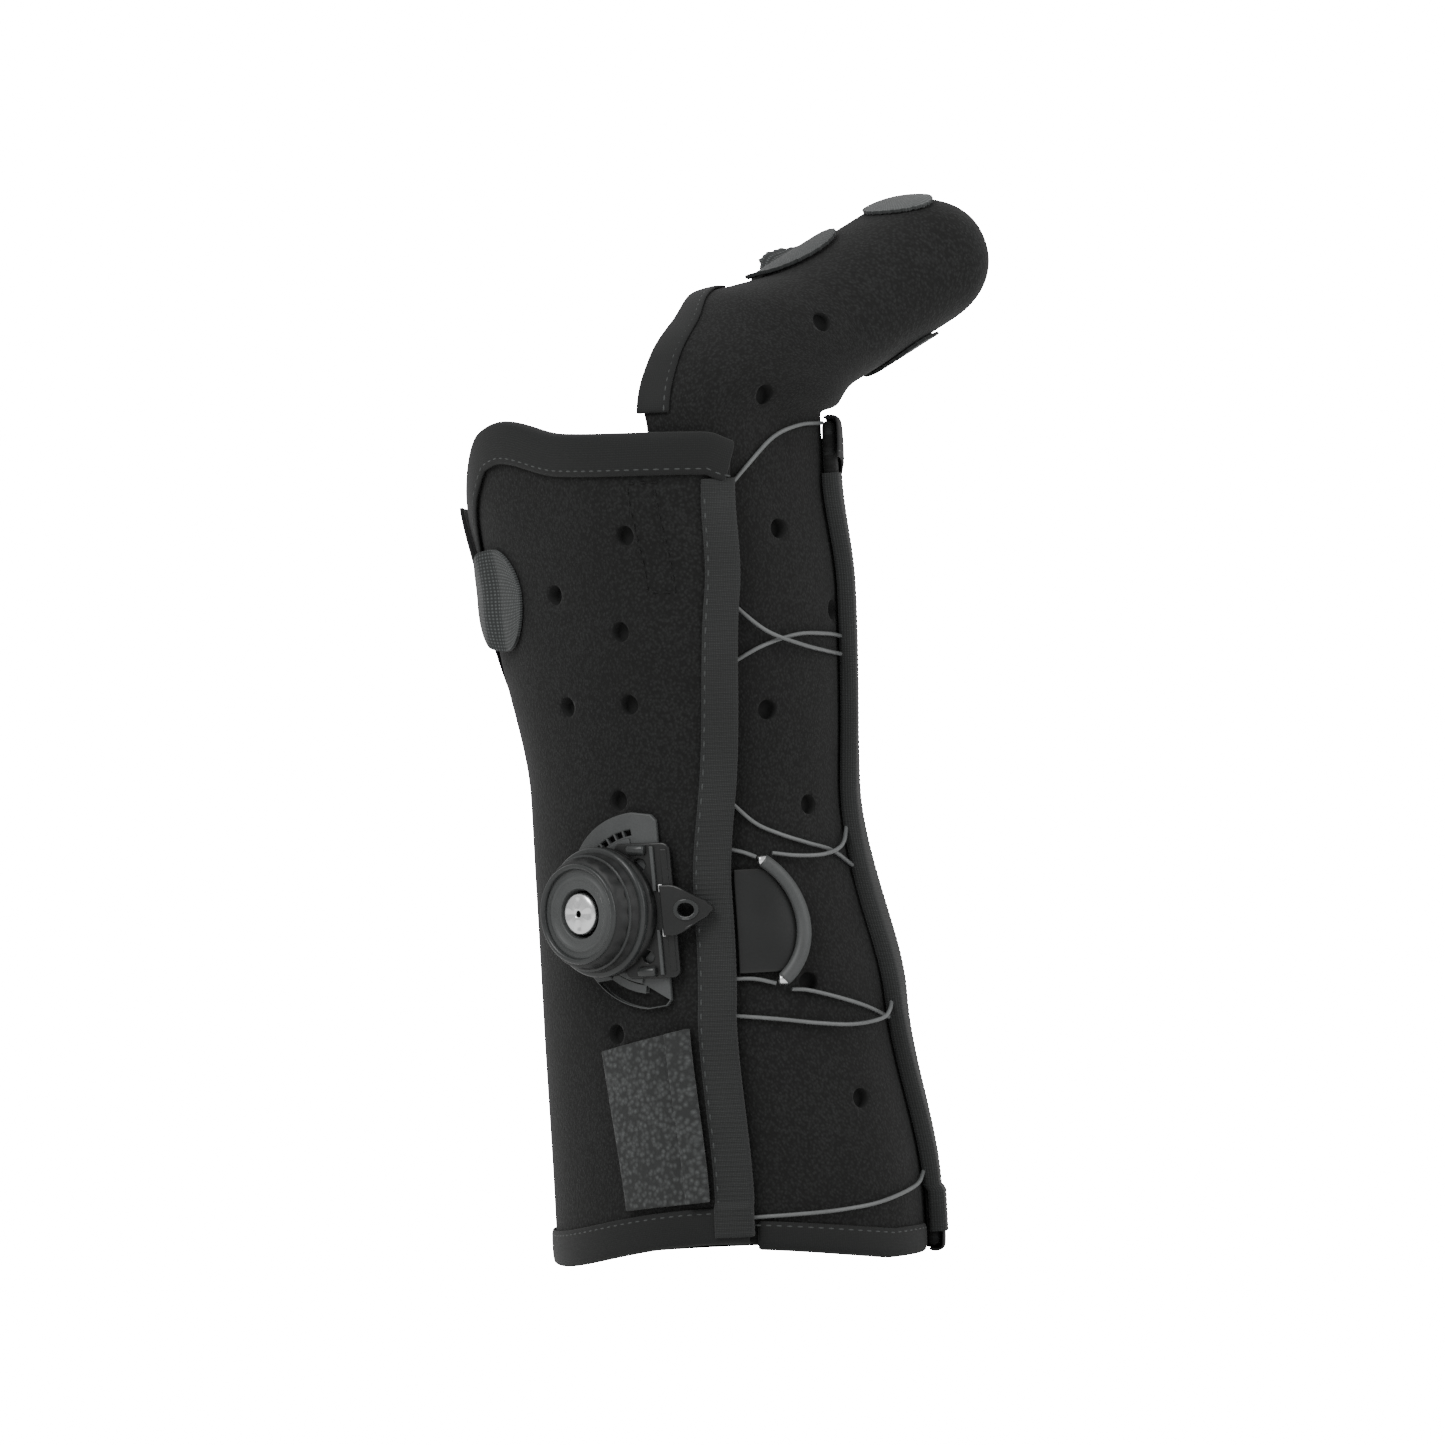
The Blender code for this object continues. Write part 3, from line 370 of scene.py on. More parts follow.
# %% Sizes of the inner layer
CREASE_DEPTH = 0.024
CREASE_HEIGHT = 0.2007
CREASE_RADIUS = 0.006
FINGER_BEND = 66.8
POCKET_SIDE = 0.020
POCKET_WIDTH = 0.041
POCKET_DEPTH = 0.0315
POCKET_LENGTH = 0.038
POCKET_TIP = 0.0190
POCKET_SQUARENESS = 2.2
RISE_STAGE = 0.25
FLAP_START = 145.0
FLAP_RISE = 30.0
FLAP_RAMP = 12.0
FLAP_LIFT = 0.0042

# stage, share of reach, share of width, angles of both free edges
KNUCKLES = (
    (0.000, 0.00, 0.00, -44.5, 55.5),
    (0.220, 0.36, 0.20, -55.0, 70.0),
    (0.440, 0.66, 0.45, -73.0, 95.0),
    (0.655, 0.83, 0.70, -108.0, 128.0),
    (0.860, 0.96, 0.90, -144.0, 162.0),
    (1.000, 1.00, 1.00, -161.0, 194.0),
)
# share of the straight stage, angle of the flap's edge
FLAP = ((0.00, 194.0), (0.12, 207.0), (0.30, 215.0), (0.75, 214.0), (1.00, 198.0))


def finger_ring(stage):
    """Centre, way to the back, half width, half depth, squareness and shrink at a stage."""
    bend = radians(FINGER_BEND * min(stage, 1.0))
    reach, widen = along(KNUCKLES, min(stage, 1.0))[:2]
    half_width, half_depth, square, x, y = section(CREASE_HEIGHT)
    inset = GUTTER_FACE * (1 - smooth(stage / RISE_STAGE))
    half_width += inset
    half_depth += inset
    far = CREASE_DEPTH - y + half_depth
    near = CREASE_DEPTH - y - half_depth
    far += (CREASE_RADIUS + POCKET_DEPTH - far) * reach
    near += (CREASE_RADIUS - near) * min(stage, 1.0)
    half_width += (POCKET_WIDTH / 2 - half_width) * widen
    square += (POCKET_SQUARENESS - square) * widen
    x += (POCKET_SIDE - x) * widen
    half_depth = (far - near) / 2
    out = Vector((0, -cos(bend), sin(bend)))
    forward = Vector((0, sin(bend), cos(bend)))
    centre = FOREARM_CENTRE + Vector((x, CREASE_DEPTH, CREASE_HEIGHT)) + out * (far + near) / 2
    shrink = 1.0
    if stage > 1:
        centre += forward * POCKET_LENGTH * min(stage - 1, 1.0)
    if stage > 2:
        turn = radians(90 * min(stage - 2, 1.0))
        centre += forward * POCKET_TIP * sin(turn)
        shrink = cos(turn)
    return centre, out, half_width, half_depth, square, shrink


def finger_skin(stage, angle, lift=0.0):
    """A point of the finger layer, with the lift measured from its own outer face."""
    centre, out, half_width, half_depth, square, shrink = finger_ring(stage)
    outward = sin(radians(90 * min(max(stage - 2, 0.0), 1.0)))
    forward = Vector((0, out.z, -out.y))
    across, deep = ring_point(half_width, half_depth, square, angle, lift)
    return centre + Vector((across * shrink, 0, 0)) - out * deep * shrink + forward * lift * outward


def finger_edges(stage):
    start, end = along(KNUCKLES, min(stage, 1.0))[2:]
    if stage > 1:
        end = along(FLAP, min(stage - 1, 1.0))[0]
    if stage > 2:
        end = start + 360 - (1.0 if stage < 2.2 else 0.0)
    return start, end


def flap_fade(stage):
    return smooth((stage - 0.8) / 0.15) * (1 - smooth((stage - 2.0) / 0.2))


def flap_lift(stage, angle):
    return FLAP_LIFT * flap_fade(stage) * smooth((angle - FLAP_START) / FLAP_RISE)


def pocket_top(stage, angle):
    """Lift of the outermost layer on the back of the pocket."""
    edge = finger_edges(stage)[1] - 360
    if angle > 0:
        return 0.0
    return FLAP_LIFT * flap_fade(stage) * smooth((edge + FLAP_RAMP + 3 - angle) / FLAP_RAMP)


def gutter_bottom(angle):
    return RIM_BASE + max(rim_arch(angle) - GUTTER_DROP, 0.0)


def gutter_point(stage, share, lift):
    if stage < 0:
        height = CREASE_HEIGHT * (stage + 1)
        for _ in range(6):
            start = dorsal_edge(height) - GUTTER_OVERLAP
            end = volar_edge(height) + GUTTER_OVERLAP
            angle = start + (end - start) * share
            low = gutter_bottom(angle)
            height = low + (CREASE_HEIGHT - low) * (stage + 1)
        return skin(height, angle, GUTTER_FACE + lift)
    start, end = finger_edges(stage)
    angle = start + (end - start) * share
    return finger_skin(stage, angle, flap_lift(stage, angle) + lift)


print("the finger layer turns by", FINGER_BEND, "degrees")

# %% [markdown]
# The cloths differ mainly in how their threads lie. Knit-faced foam has a fine pebbled
# grain, tape is smoother, hook tape is a small square weave, and the loop pad is coarse.
# Each reads the piece's own UV map, which is laid out in metres, so the thread spacing is
# a real size. The finest threads are drawn a little coarser than life so that they show.
# Raised yarn is lighter than the gaps, which are darkened as painted shade, and a slow noise makes the dye
# slightly uneven.

# %% Cloth materials
CLOTH_SHINE = 0.22
WAVE_SCALE = 0.31416


def cloth_material(name, dark, light, thread, relief, roughness, weave=False, sheen=0.12):
    """Cloth with threads of a real spacing, as rounded grains or as a square weave."""
    made, tree, shader = new_material(name, roughness, Sheen_Weight=sheen, Sheen_Roughness=0.5)
    uv = node(tree, "ShaderNodeUVMap", {"uv_map": "cloth"}).outputs[0]
    if weave:
        waves = [node(tree, "ShaderNodeTexWave", {"bands_direction": way},
                      {"Vector": uv, "Scale": WAVE_SCALE / thread, "Distortion": 0.4, "Detail": 1.0})
                 for way in "XY"]
        grain = math_node(tree, "MULTIPLY", *(wave.outputs["Fac"] for wave in waves))
    else:
        cells = node(tree, "ShaderNodeTexVoronoi", {"feature": "SMOOTH_F1"},
                     {"Vector": uv, "Scale": 1 / thread, "Smoothness": 0.35})
        grain = node(tree, "ShaderNodeMapRange", inputs={
            "Value": cells.outputs["Distance"], "From Min": 0.1, "From Max": 0.7,
            "To Min": 1.0, "To Max": 0.0}).outputs[0]
    fibres = noise(tree, uv, 0.9 / thread, 3.0)
    dye = noise(tree, uv, 45.0, 4.0)
    # The thread height sets both the bump and the colour: the low gaps between threads are painted shade,
    # while the fibre noise and the dye are the cloth's own tone.
    mixed = math_node(tree, "MULTIPLY", grain, fibres)
    stain = math_node(tree, "MULTIPLY_ADD", dye, 0.5, -0.3)
    lit = math_node(tree, "MULTIPLY_ADD", mixed, 1.5, stain, clamp=True)
    colour_and_bump(tree, shader, lit, dark, light, mixed, relief, 0.8)
    shader.inputs["Specular IOR Level"].default_value = CLOTH_SHINE
    return made


KNIT = cloth_material("knit_faced_foam", "#0a0a0a", "#212222", 0.75 * MM, 0.16 * MM, 0.85,
                      sheen=0.04)
TAPE = cloth_material("stretch_binding_tape", "#0e0f0f", "#1d1e1e", 0.5 * MM, 0.06 * MM, 0.7,
                      weave=True, sheen=0.06)
RIBBON = cloth_material("grosgrain_ribbon", "#191a1a", "#383a3a", 0.4 * MM, 0.05 * MM, 0.75,
                        weave=True, sheen=0.08)
HOOK = cloth_material("woven_hook_tape", "#232525", "#585b5b", 0.85 * MM, 0.2 * MM, 0.8, weave=True)
# The same hook tape drawn paler for the second finger tab: its paler colour is painted light, standing for
# the light that falls on that tab.
HOOK_PAINTED_LIGHT = cloth_material("hook_tape_painted_light", "#343636", "#7c7e7e", 0.95 * MM, 0.25 * MM, 0.8,
                           weave=True)
LOOP = cloth_material("brushed_loop_pad", "#242525", "#484a4a", 1.1 * MM, 0.3 * MM, 0.8)
THREAD = cloth_material("polyester_thread", "#313333", "#4c4e4e", 0.3 * MM, 0.03 * MM, 0.6,
                        weave=True)
print("cloths ready")

# %% [markdown]
# The dial and its neighbours are moulded nylon with a spark-eroded grain, satin black on
# the knob and mid grey on the flange. Plastic is rarely one even colour, so a fine noise
# mottles it and a second one roughens it. The axle cap is turned steel. The lace is a
# tight braid with a smooth grey coat.

# %% Plastic, steel and lace materials
ROUGHNESS_SPREAD = 0.07
PLASTIC_SHINE = 0.35
METAL_SHINE = 0.5


def moulded_material(name, dark, light, roughness, grain=0.35 * MM, relief=0.02 * MM, metallic=0.0):
    """Moulded plastic or turned metal with a fine grain on object coordinates."""
    made, tree, shader = new_material(name, roughness, metallic)
    place = node(tree, "ShaderNodeTexCoord").outputs["Object"]
    fine = noise(tree, place, 1 / grain, 2.0)
    slow = noise(tree, place, 90.0, 3.0)
    share = math_node(tree, "MULTIPLY", slow, 0.6)
    both = math_node(tree, "MULTIPLY_ADD", fine, 0.4, share, clamp=True)
    rough = node(tree, "ShaderNodeMapRange",
                 inputs={"Value": slow, "To Min": roughness - ROUGHNESS_SPREAD,
                         "To Max": roughness + ROUGHNESS_SPREAD})
    tree.links.new(rough.outputs[0], shader.inputs["Roughness"])
    colour_and_bump(tree, shader, both, dark, light, fine, relief, 0.6)
    shader.inputs["Specular IOR Level"].default_value = METAL_SHINE if metallic else PLASTIC_SHINE
    return made


GREY_NYLON = moulded_material("grey_moulded_nylon", "#282929", "#474949", 0.5)
BLACK_NYLON = moulded_material("satin_black_nylon", "#0b0b0b", "#181919", 0.38)
DARK_RUBBER = moulded_material("grip_rubber", "#0e0f0f", "#1c1d1d", 0.55)
RIM_NYLON = moulded_material("polished_knob_nylon", "#1b1c1c", "#333535", 0.3)
STEEL = moulded_material("turned_steel", "#b9bbbc", "#ececec", 0.24,
                         grain=0.6 * MM, relief=0.01 * MM, metallic=1.0)
CORD = moulded_material("coated_braid_lace", "#3e4040", "#686a6a", 0.35,
                        grain=0.5 * MM, relief=0.05 * MM)
print("plastics, steel and lace ready")

# %% [markdown]
# A flat grid of squares is the easiest start for any cloth: each of its points is moved
# onto the brace, and its flat place becomes the UV map in metres. Weights that hold a
# point still during the simulation are kept with it. Solidify gives the wall its
# thickness, and one function applies whatever modifiers a piece has.

# %% Grid, wall and finishing helpers
def add_piece(name, bm, material):
    """A smooth-shaded object in the scene from a bmesh, which is used up."""
    mesh = bpy.data.meshes.new(name)
    bm.to_mesh(mesh)
    bm.free()
    mesh.materials.append(material)
    mesh.shade_smooth()
    made = bpy.data.objects.new(name, mesh)
    scene.collection.objects.link(made)
    return made


def evaluated(piece):
    return piece.evaluated_get(bpy.context.evaluated_depsgraph_get())


def apply_modifiers(piece):
    """The piece's mesh as its modifiers leave it, with no modifier left on it."""
    found = bpy.data.meshes.new_from_object(evaluated(piece), preserve_all_data_layers=True,
                                            depsgraph=bpy.context.evaluated_depsgraph_get())
    piece.modifiers.clear()
    piece.data = found
    found.shade_smooth()
    return piece


def add_bevel(piece, width, angle):
    """Soft edges where two faces meet at more than an angle."""
    bevel = piece.modifiers.new("edge", "BEVEL")
    bevel.width = width
    bevel.segments = 2
    bevel.limit_method = "ANGLE"
    bevel.angle_limit = radians(angle)


def cloth_grid(name, place, rows, columns, size, material, held=None):
    """A grid laid on place(up, across, lift), both shares from 0 to 1, its UV map in metres."""
    bm = bmesh.new()
    layer = bm.loops.layers.uv.new("cloth")
    bmesh.ops.create_grid(bm, x_segments=columns, y_segments=rows, size=0.5)
    weights = bm.verts.layers.deform.verify() if held else None
    for face in bm.faces:
        for loop in face.loops:
            loop[layer].uv = ((loop.vert.co.x + 0.5) * size[0], (loop.vert.co.y + 0.5) * size[1])
    sample = place(0.5, 0.5, 1e-4) - place(0.5, 0.5, 0.0)
    for vert in bm.verts:
        across, up = vert.co.x + 0.5, vert.co.y + 0.5
        vert.co = place(up, across, 0.0)
        if held:
            vert[weights][0] = held(up, across)
    bmesh.ops.remove_doubles(bm, verts=bm.verts, dist=1e-6)
    bm.normal_update()
    bm.faces.ensure_lookup_table()
    middle = min(bm.faces, key=lambda f: (f.calc_center_median() - place(0.5, 0.5, 0.0)).length)
    if middle.normal.dot(sample) < 0:
        bmesh.ops.reverse_faces(bm, faces=bm.faces)
    made = add_piece(name, bm, material)
    if held:
        made.vertex_groups.new(name="held")
    return made


def give_wall(piece, thickness, offset=-1.0, round_edge=0.0):
    """A wall on the inner side, with its rim rounded where that is wanted."""
    wall = piece.modifiers.new("wall", "SOLIDIFY")
    wall.thickness = thickness
    wall.offset = offset
    wall.use_even_offset = True
    wall.use_quality_normals = True
    if round_edge:
        add_bevel(piece, round_edge, 50)
    return apply_modifiers(piece)


def dress(piece, *nodes, body="root", slot=None):
    """The piece rides on its body and stands for its nodes; its slot is not used."""
    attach(piece, body)
    if nodes:
        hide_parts(*nodes)
    faces = len(piece.data.polygons) if piece.type == "MESH" else 0
    print(piece.name, "faces", faces)
    return piece


# %% [markdown]
# Foam between two knit faces swells a little between its seams. Blender's cloth
# simulation does that: the closed wall is blown up by a slight pressure without gravity
# while the seams, and the places where hardware presses, are held. A cap on how far a
# point may move keeps each layer clear of the next. Afterwards the piece is subdivided
# once, dented round each vent as a punch leaves it, and the vents are cut. They end just
# above the inner knit face, which keeps them dark.

# %% Cloth simulation and vents
SIMULATION_FRAMES = 20
FOAM_SETTINGS = {
    "quality": 5, "mass": 0.3, "tension_stiffness": 15, "compression_stiffness": 15,
    "bending_stiffness": 0.5, "use_pressure": True, "uniform_pressure_force": 4.0,
    "vertex_group_mass": "held",
}


def swell(piece, cap):
    """Blows up a closed foam wall slightly and keeps every point within the cap."""
    start = [v.co.copy() for v in piece.data.vertices]
    cloth = piece.modifiers.new("cloth", "CLOTH")
    for setting, value in FOAM_SETTINGS.items():
        setattr(cloth.settings, setting, value)
    cloth.settings.effector_weights.gravity = 0.0
    for step in range(1, SIMULATION_FRAMES + 1):
        scene.frame_set(step)
    ends = [v.co.copy() for v in evaluated(piece).data.vertices]
    piece.modifiers.clear()
    scene.frame_set(1)
    most = 0.0
    for vert, a, b in zip(piece.data.vertices, start, ends):
        step = b - a
        most = max(most, step.length)
        vert.co = a + step * min(1.0, cap / max(step.length, 1e-9))
    print(piece.name, "swelled by up to", round(min(most, cap) / MM, 2), "mm")
    return piece


def refine(piece):
    finer = piece.modifiers.new("finer", "SUBSURF")
    finer.levels = 1
    finer.render_levels = 1
    return apply_modifiers(piece)


VENT_RADIUS = 2.4 * MM
VENT_DEPTH = 2.6 * MM
DENT_RADIUS = 4.2 * MM
DENT_DEPTH = 0.45 * MM


def punch_vents(piece, vents, depth):
    """Dents the cloth round each vent, a point and the way out of it, and cuts the vents."""
    for vert in piece.data.vertices:
        for point, out in vents:
            away = (vert.co - point).length
            if away < DENT_RADIUS:
                vert.co -= out * DENT_DEPTH * (1 - (away / DENT_RADIUS) ** 2) ** 2
    bm = bmesh.new()
    for point, out in vents:
        place = Matrix.Translation(point) @ out.to_track_quat("Z", "Y").to_matrix().to_4x4()
        place = place @ Matrix.Translation((0, 0, depth / 2 - VENT_DEPTH))
        bmesh.ops.create_cone(bm, cap_ends=True, segments=20, radius1=VENT_RADIUS,
                              radius2=VENT_RADIUS, depth=depth, matrix=place)
    cutter = add_piece("vent_cutter", bm, KNIT)
    hole = piece.modifiers.new("vents", "BOOLEAN")
    hole.operation = "DIFFERENCE"
    hole.object = cutter
    hole.solver = "EXACT"
    apply_modifiers(piece)
    bpy.data.objects.remove(cutter)
    return piece


def vent_frames(place, spots):
    found = []
    for a, b in spots:
        point = place(a, b, 0.0)
        found.append((point, (place(a, b, 1e-4) - point).normalized()))
    return found


# %% [markdown]
# The outer wrap goes from the dorsal lacing edge round the thumb side to the volar one.
# Its top dips into a notch for the thumb. The seams, the place under the dial and the
# place under the pull tab are held in the simulation.

# %% Outer wrap
# angle, height share
PANEL_VENTS = (
    (-53.3, 0.877), (-91.3, 0.810), (-60.3, 0.763), (-60.9, 0.676),
    (-91.9, 0.676), (-70.7, 0.562), (-81.6, 0.284),
)
DIAL_HEIGHT = 0.0857
DIAL_ANGLE = -79.5
CUFF_HOLD = 0.012
TOP_HOLD = 0.013
EDGE_HOLD = 34
DIAL_HOLD = 0.030
PULL_TAB_MIDDLE = (-69, 0.036)
PULL_TAB_HOLD = 0.014


def panel_held(up, across):
    """1 where the wrap is sewn or pressed, 0 where its foam is free."""
    low = panel_edge(across, panel_bottom)[1]
    high = panel_edge(across, panel_top)[1]
    height = low + (high - low) * up
    angle = panel_angle(height, across)
    sewn = max(smooth(1 - (height - low) / CUFF_HOLD), smooth(1 - (high - height) / TOP_HOLD),
               smooth(1 - across * EDGE_HOLD), smooth(1 - (1 - across) * EDGE_HOLD))
    near_dial = hypot(radians(angle - DIAL_ANGLE) * ARM_RADIUS, height - DIAL_HEIGHT)
    tab_angle, tab_height = PULL_TAB_MIDDLE
    near_tab = hypot(radians(angle - tab_angle) * ARM_RADIUS / 1.1, (height - tab_height) / 1.6)
    pressed = max(smooth(1.5 - near_dial / DIAL_HOLD), smooth(1.8 - near_tab / PULL_TAB_HOLD))
    return min(max(sewn, pressed), 1.0)


wrap = cloth_grid("panel_wrap", panel_point, 64, 104, (0.250, 0.196), KNIT, panel_held)
give_wall(wrap, PANEL_WALL)
swell(wrap, 0.55 * MM)
refine(wrap)
wrap_vents = vent_frames(lambda a, s, lift: skin(s * PANEL_HEIGHT, a, lift), PANEL_VENTS)
punch_vents(wrap, wrap_vents, 3 * PANEL_WALL)
dress(wrap, "main_shell", slot="knit")

# %% [markdown]
# The inner layer starts under the wrap and shows between the two lacing edges. Its stages
# are unevenly long, so the rows of the grid are spread to keep its squares even.

# %% Inner layer with the finger pocket
# angle, height share
GUTTER_VENTS = (
    (0.3, 0.876), (24.0, 0.776), (-12.4, 0.662), (1.9, 0.546), (-0.1, 0.194), (-13.4, 0.336),
)
# stage, angle
FINGER_VENTS = ((0.12, -6.0), (0.72, -14.0))
# share of the way along, stage
STAGE_ROWS = ((0.0, -1.0), (0.60, 0.0), (0.80, 1.0), (0.91, 2.0), (1.0, 3.0))


def stage_at(up):
    """Stage of the inner layer at a share of the way along it."""
    for (a, low), (b, high) in zip(STAGE_ROWS, STAGE_ROWS[1:]):
        if up <= b:
            return low + (high - low) * (up - a) / (b - a)
    return 3.0


def gutter_held(up, across):
    near_edge = max(smooth(1 - across * 9), smooth(1 - (1 - across) * 9))
    return max(near_edge, smooth(1 - up * 22), smooth((up - 0.95) * 30))


liner = cloth_grid("gutter_liner", lambda up, across, lift: gutter_point(stage_at(up), across, lift),
                   110, 38, (0.110, 0.330), KNIT, gutter_held)
give_wall(liner, GUTTER_WALL)
swell(liner, 0.40 * MM)
refine(liner)
liner_vents = vent_frames(lambda a, s, lift: skin(s * PANEL_HEIGHT, a, GUTTER_FACE + lift),
                          GUTTER_VENTS)
liner_vents += vent_frames(finger_skin, FINGER_VENTS)
punch_vents(liner, liner_vents, 3 * GUTTER_WALL)
dress(liner, "gutter_shell", slot="knit")

# %% [markdown]
# Tape is folded over every cut edge and sewn down. Its profile is a short curve across
# the edge: a flat leg outside and a rounded fold that reaches the inner face. The grid's
# rows follow that profile and its columns follow the edge.

# %% Edge tapes
TAPE_THICKNESS = 0.6 * MM


def inward_from(edge, toward):
    """Height and angle a distance in from an edge, square to it."""
    def shifted(share, distance):
        before, after = edge(max(share - 0.01, 0.0)), edge(min(share + 0.01, 1.0))
        run = radians(after[0] - before[0]) * ARM_RADIUS
        climb = after[1] - before[1]
        size = hypot(run, climb)
        step_round, step_up = -climb / size, run / size
        if step_up * toward < 0:
            step_round, step_up = -step_round, -step_up
        angle, height = edge(share)
        return height + step_up * distance, angle + degrees(step_round * distance / ARM_RADIUS)
    return shifted


def tape_profile(width, wall):
    """Distance in from the edge and lift: down the outer leg and round the fold."""
    fold = 0.95 * MM
    high = 0.75 * MM
    rows = [(width, 0.42 * MM), (width - 0.5 * MM, high), (width * 0.66, high + 0.12 * MM),
            (width * 0.33, high + 0.1 * MM), (0.3 * MM, high)]
    middle = (high - wall) / 2
    reach = (high + wall) / 2
    for i in range(1, 6):
        turn = pi * i / 6
        rows.append((0.3 * MM - (fold + 0.3 * MM) * sin(turn) ** 0.8, middle + reach * cos(turn)))
    return rows


def edge_tape(name, node_name, place, inward, width, wall, columns, length, outset=0.0):
    """Tape folded over an edge, on place(a, b, lift) of what inward gives."""
    profile = tape_profile(width, wall)

    def point(up, across, lift):
        at = up * (len(profile) - 1)
        i = min(int(at), len(profile) - 2)
        t = at - i
        distance = profile[i][0] * (1 - t) + profile[i + 1][0] * t
        height = profile[i][1] * (1 - t) + profile[i + 1][1] * t
        a, b = inward(across, distance)
        return place(a, b, height + outset + lift)

    made = cloth_grid(name, point, len(profile) - 1, columns, (length, 0.022), TAPE)
    give_wall(made, TAPE_THICKNESS, offset=0.0)
    refine(made)
    return dress(made, node_name, slot="binding")


def top_edge(share):
    return panel_edge(share, panel_top)


def cuff_edge(share):
    return panel_edge(share, panel_bottom)


def gutter_edge(share):
    start = dorsal_edge(0.0) + 1.6
    end = volar_edge(0.0) - 1.6
    angle = start + (end - start) * share
    return angle, gutter_bottom(angle)


def finger_inward(stage_share, distance):
    stage = 0.03 + 0.83 * stage_share
    edge = finger_edges(stage)[0]
    wide, deep, square = finger_ring(stage)[2:5]
    return stage, edge + degrees(distance / ring_radius(wide, deep, square, edge))


TOP_TAPE_WIDTH = 9.0 * MM
CUFF_TAPE_WIDTH = 7.5 * MM
FINGER_TAPE_WIDTH = 6.7 * MM
GUTTER_TAPE_WIDTH = 5.8 * MM
edge_tape("top_edge_tape", "top_binding", skin, inward_from(top_edge, -1),
          TOP_TAPE_WIDTH, PANEL_WALL, 150, 0.30, outset=0.35 * MM)
edge_tape("cuff_edge_tape", "cuff_binding", skin, inward_from(cuff_edge, 1),
          CUFF_TAPE_WIDTH, PANEL_WALL, 110, 0.25)
edge_tape("gutter_edge_tape", "gutter_binding", lambda h, a, lift: skin(h, a, GUTTER_FACE + lift),
          inward_from(gutter_edge, 1), GUTTER_TAPE_WIDTH, GUTTER_WALL, 30, 0.06)
edge_tape("finger_edge_tape", "finger_binding",
          lambda stage, a, lift: finger_skin(stage, a, flap_lift(stage, a) + lift),
          finger_inward, FINGER_TAPE_WIDTH, GUTTER_WALL, 40, 0.07)

# %% [markdown]
# Grosgrain ribbon covers the two lacing edges. It is woven with thick cross threads, so
# it has ribs, and they are real waves in the mesh. The ribbon lies flat on the wrap, then
# turns over the edge of the foam.

# %% Ribbons
RIBBON_WIDTH = 8.0 * MM
RIB_PITCH = 1.15 * MM
RIB_HEIGHT = 0.16 * MM
RIBBON_LIFT = 0.50 * MM
RIBBON_WALL = 0.35 * MM
RIBBON_FOLD = 3.2 * MM
CUFF_STEP = 1.0 * MM
CUFF_STEP_HEIGHT = 0.0165
CUFF_STEP_LENGTH = 0.002


def ribbon(name, node_name, edge, side, low, high):
    """A ribbed ribbon along a lacing edge between two heights."""
    rows = round((high - low) / (RIB_PITCH / 4))

    def point(up, across, lift):
        height = low + (high - low) * up
        rib = RIB_HEIGHT * (0.5 - 0.5 * cos(2 * pi * height / RIB_PITCH)) ** 0.7
        step_share = (CUFF_STEP_HEIGHT - height) / CUFF_STEP_LENGTH
        over_cuff = CUFF_STEP * smooth(step_share)
        run = across * (RIBBON_WIDTH + RIBBON_FOLD)
        if run < RIBBON_WIDTH:
            distance, rise_at = RIBBON_WIDTH - run, RIBBON_LIFT + rib
        else:
            t = (run - RIBBON_WIDTH) / RIBBON_FOLD
            distance = -0.6 * MM * sin(pi / 2 * min(2 * t, 1.0)) - rib * 0.6
            rise_at = RIBBON_LIFT - (RIBBON_LIFT + PANEL_WALL) * smooth(t) + rib * (1 - t)
        angle = arc_turn(height, edge(height), side * distance)
        return skin(height, angle, rise_at + over_cuff + lift)

    made = cloth_grid(name, point, rows, 12, (RIBBON_WIDTH + RIBBON_FOLD, high - low), RIBBON)
    give_wall(made, RIBBON_WALL, offset=0.0)
    return dress(made, node_name, slot="ribbon")


ribbon("dorsal_grosgrain", "dorsal_ribbon", dorsal_edge, -1, 0.0078, 0.1868)
ribbon("volar_grosgrain", "volar_ribbon", volar_edge, 1, 0.0050, 0.1868)

# %% [markdown]
# Mouldings that are flat plates, such as the flange, are drawn as an outline with holes.
# A filled curve with a small bevel turns that into a plate with soft edges, the plate is
# cut into strips, and each point is laid on the curved wrap. Round parts are a profile
# spun about the dial's axis.

# %% Plates on the wrap and turned parts
GAP = 0.3 * MM
TURNED_BEVEL = 0.12 * MM
DIAL_SEAT_HEIGHT = 3.2 * MM
STRIP = 1.6 * MM


def dial_surface(across, up, lift):
    """A point of the wrap at distances across and up from the dial's axis."""
    height = DIAL_HEIGHT + up
    return skin(height, arc_turn(height, DIAL_ANGLE, across), lift)


dial_across = (skin(DIAL_HEIGHT, DIAL_ANGLE + 2) - skin(DIAL_HEIGHT, DIAL_ANGLE - 2)).normalized()
dial_out = dial_across.cross(UP).normalized()
dial_place = (Matrix.Translation(skin(DIAL_HEIGHT, DIAL_ANGLE))
              @ Matrix((dial_across, dial_out.cross(dial_across), dial_out)).transposed().to_4x4())


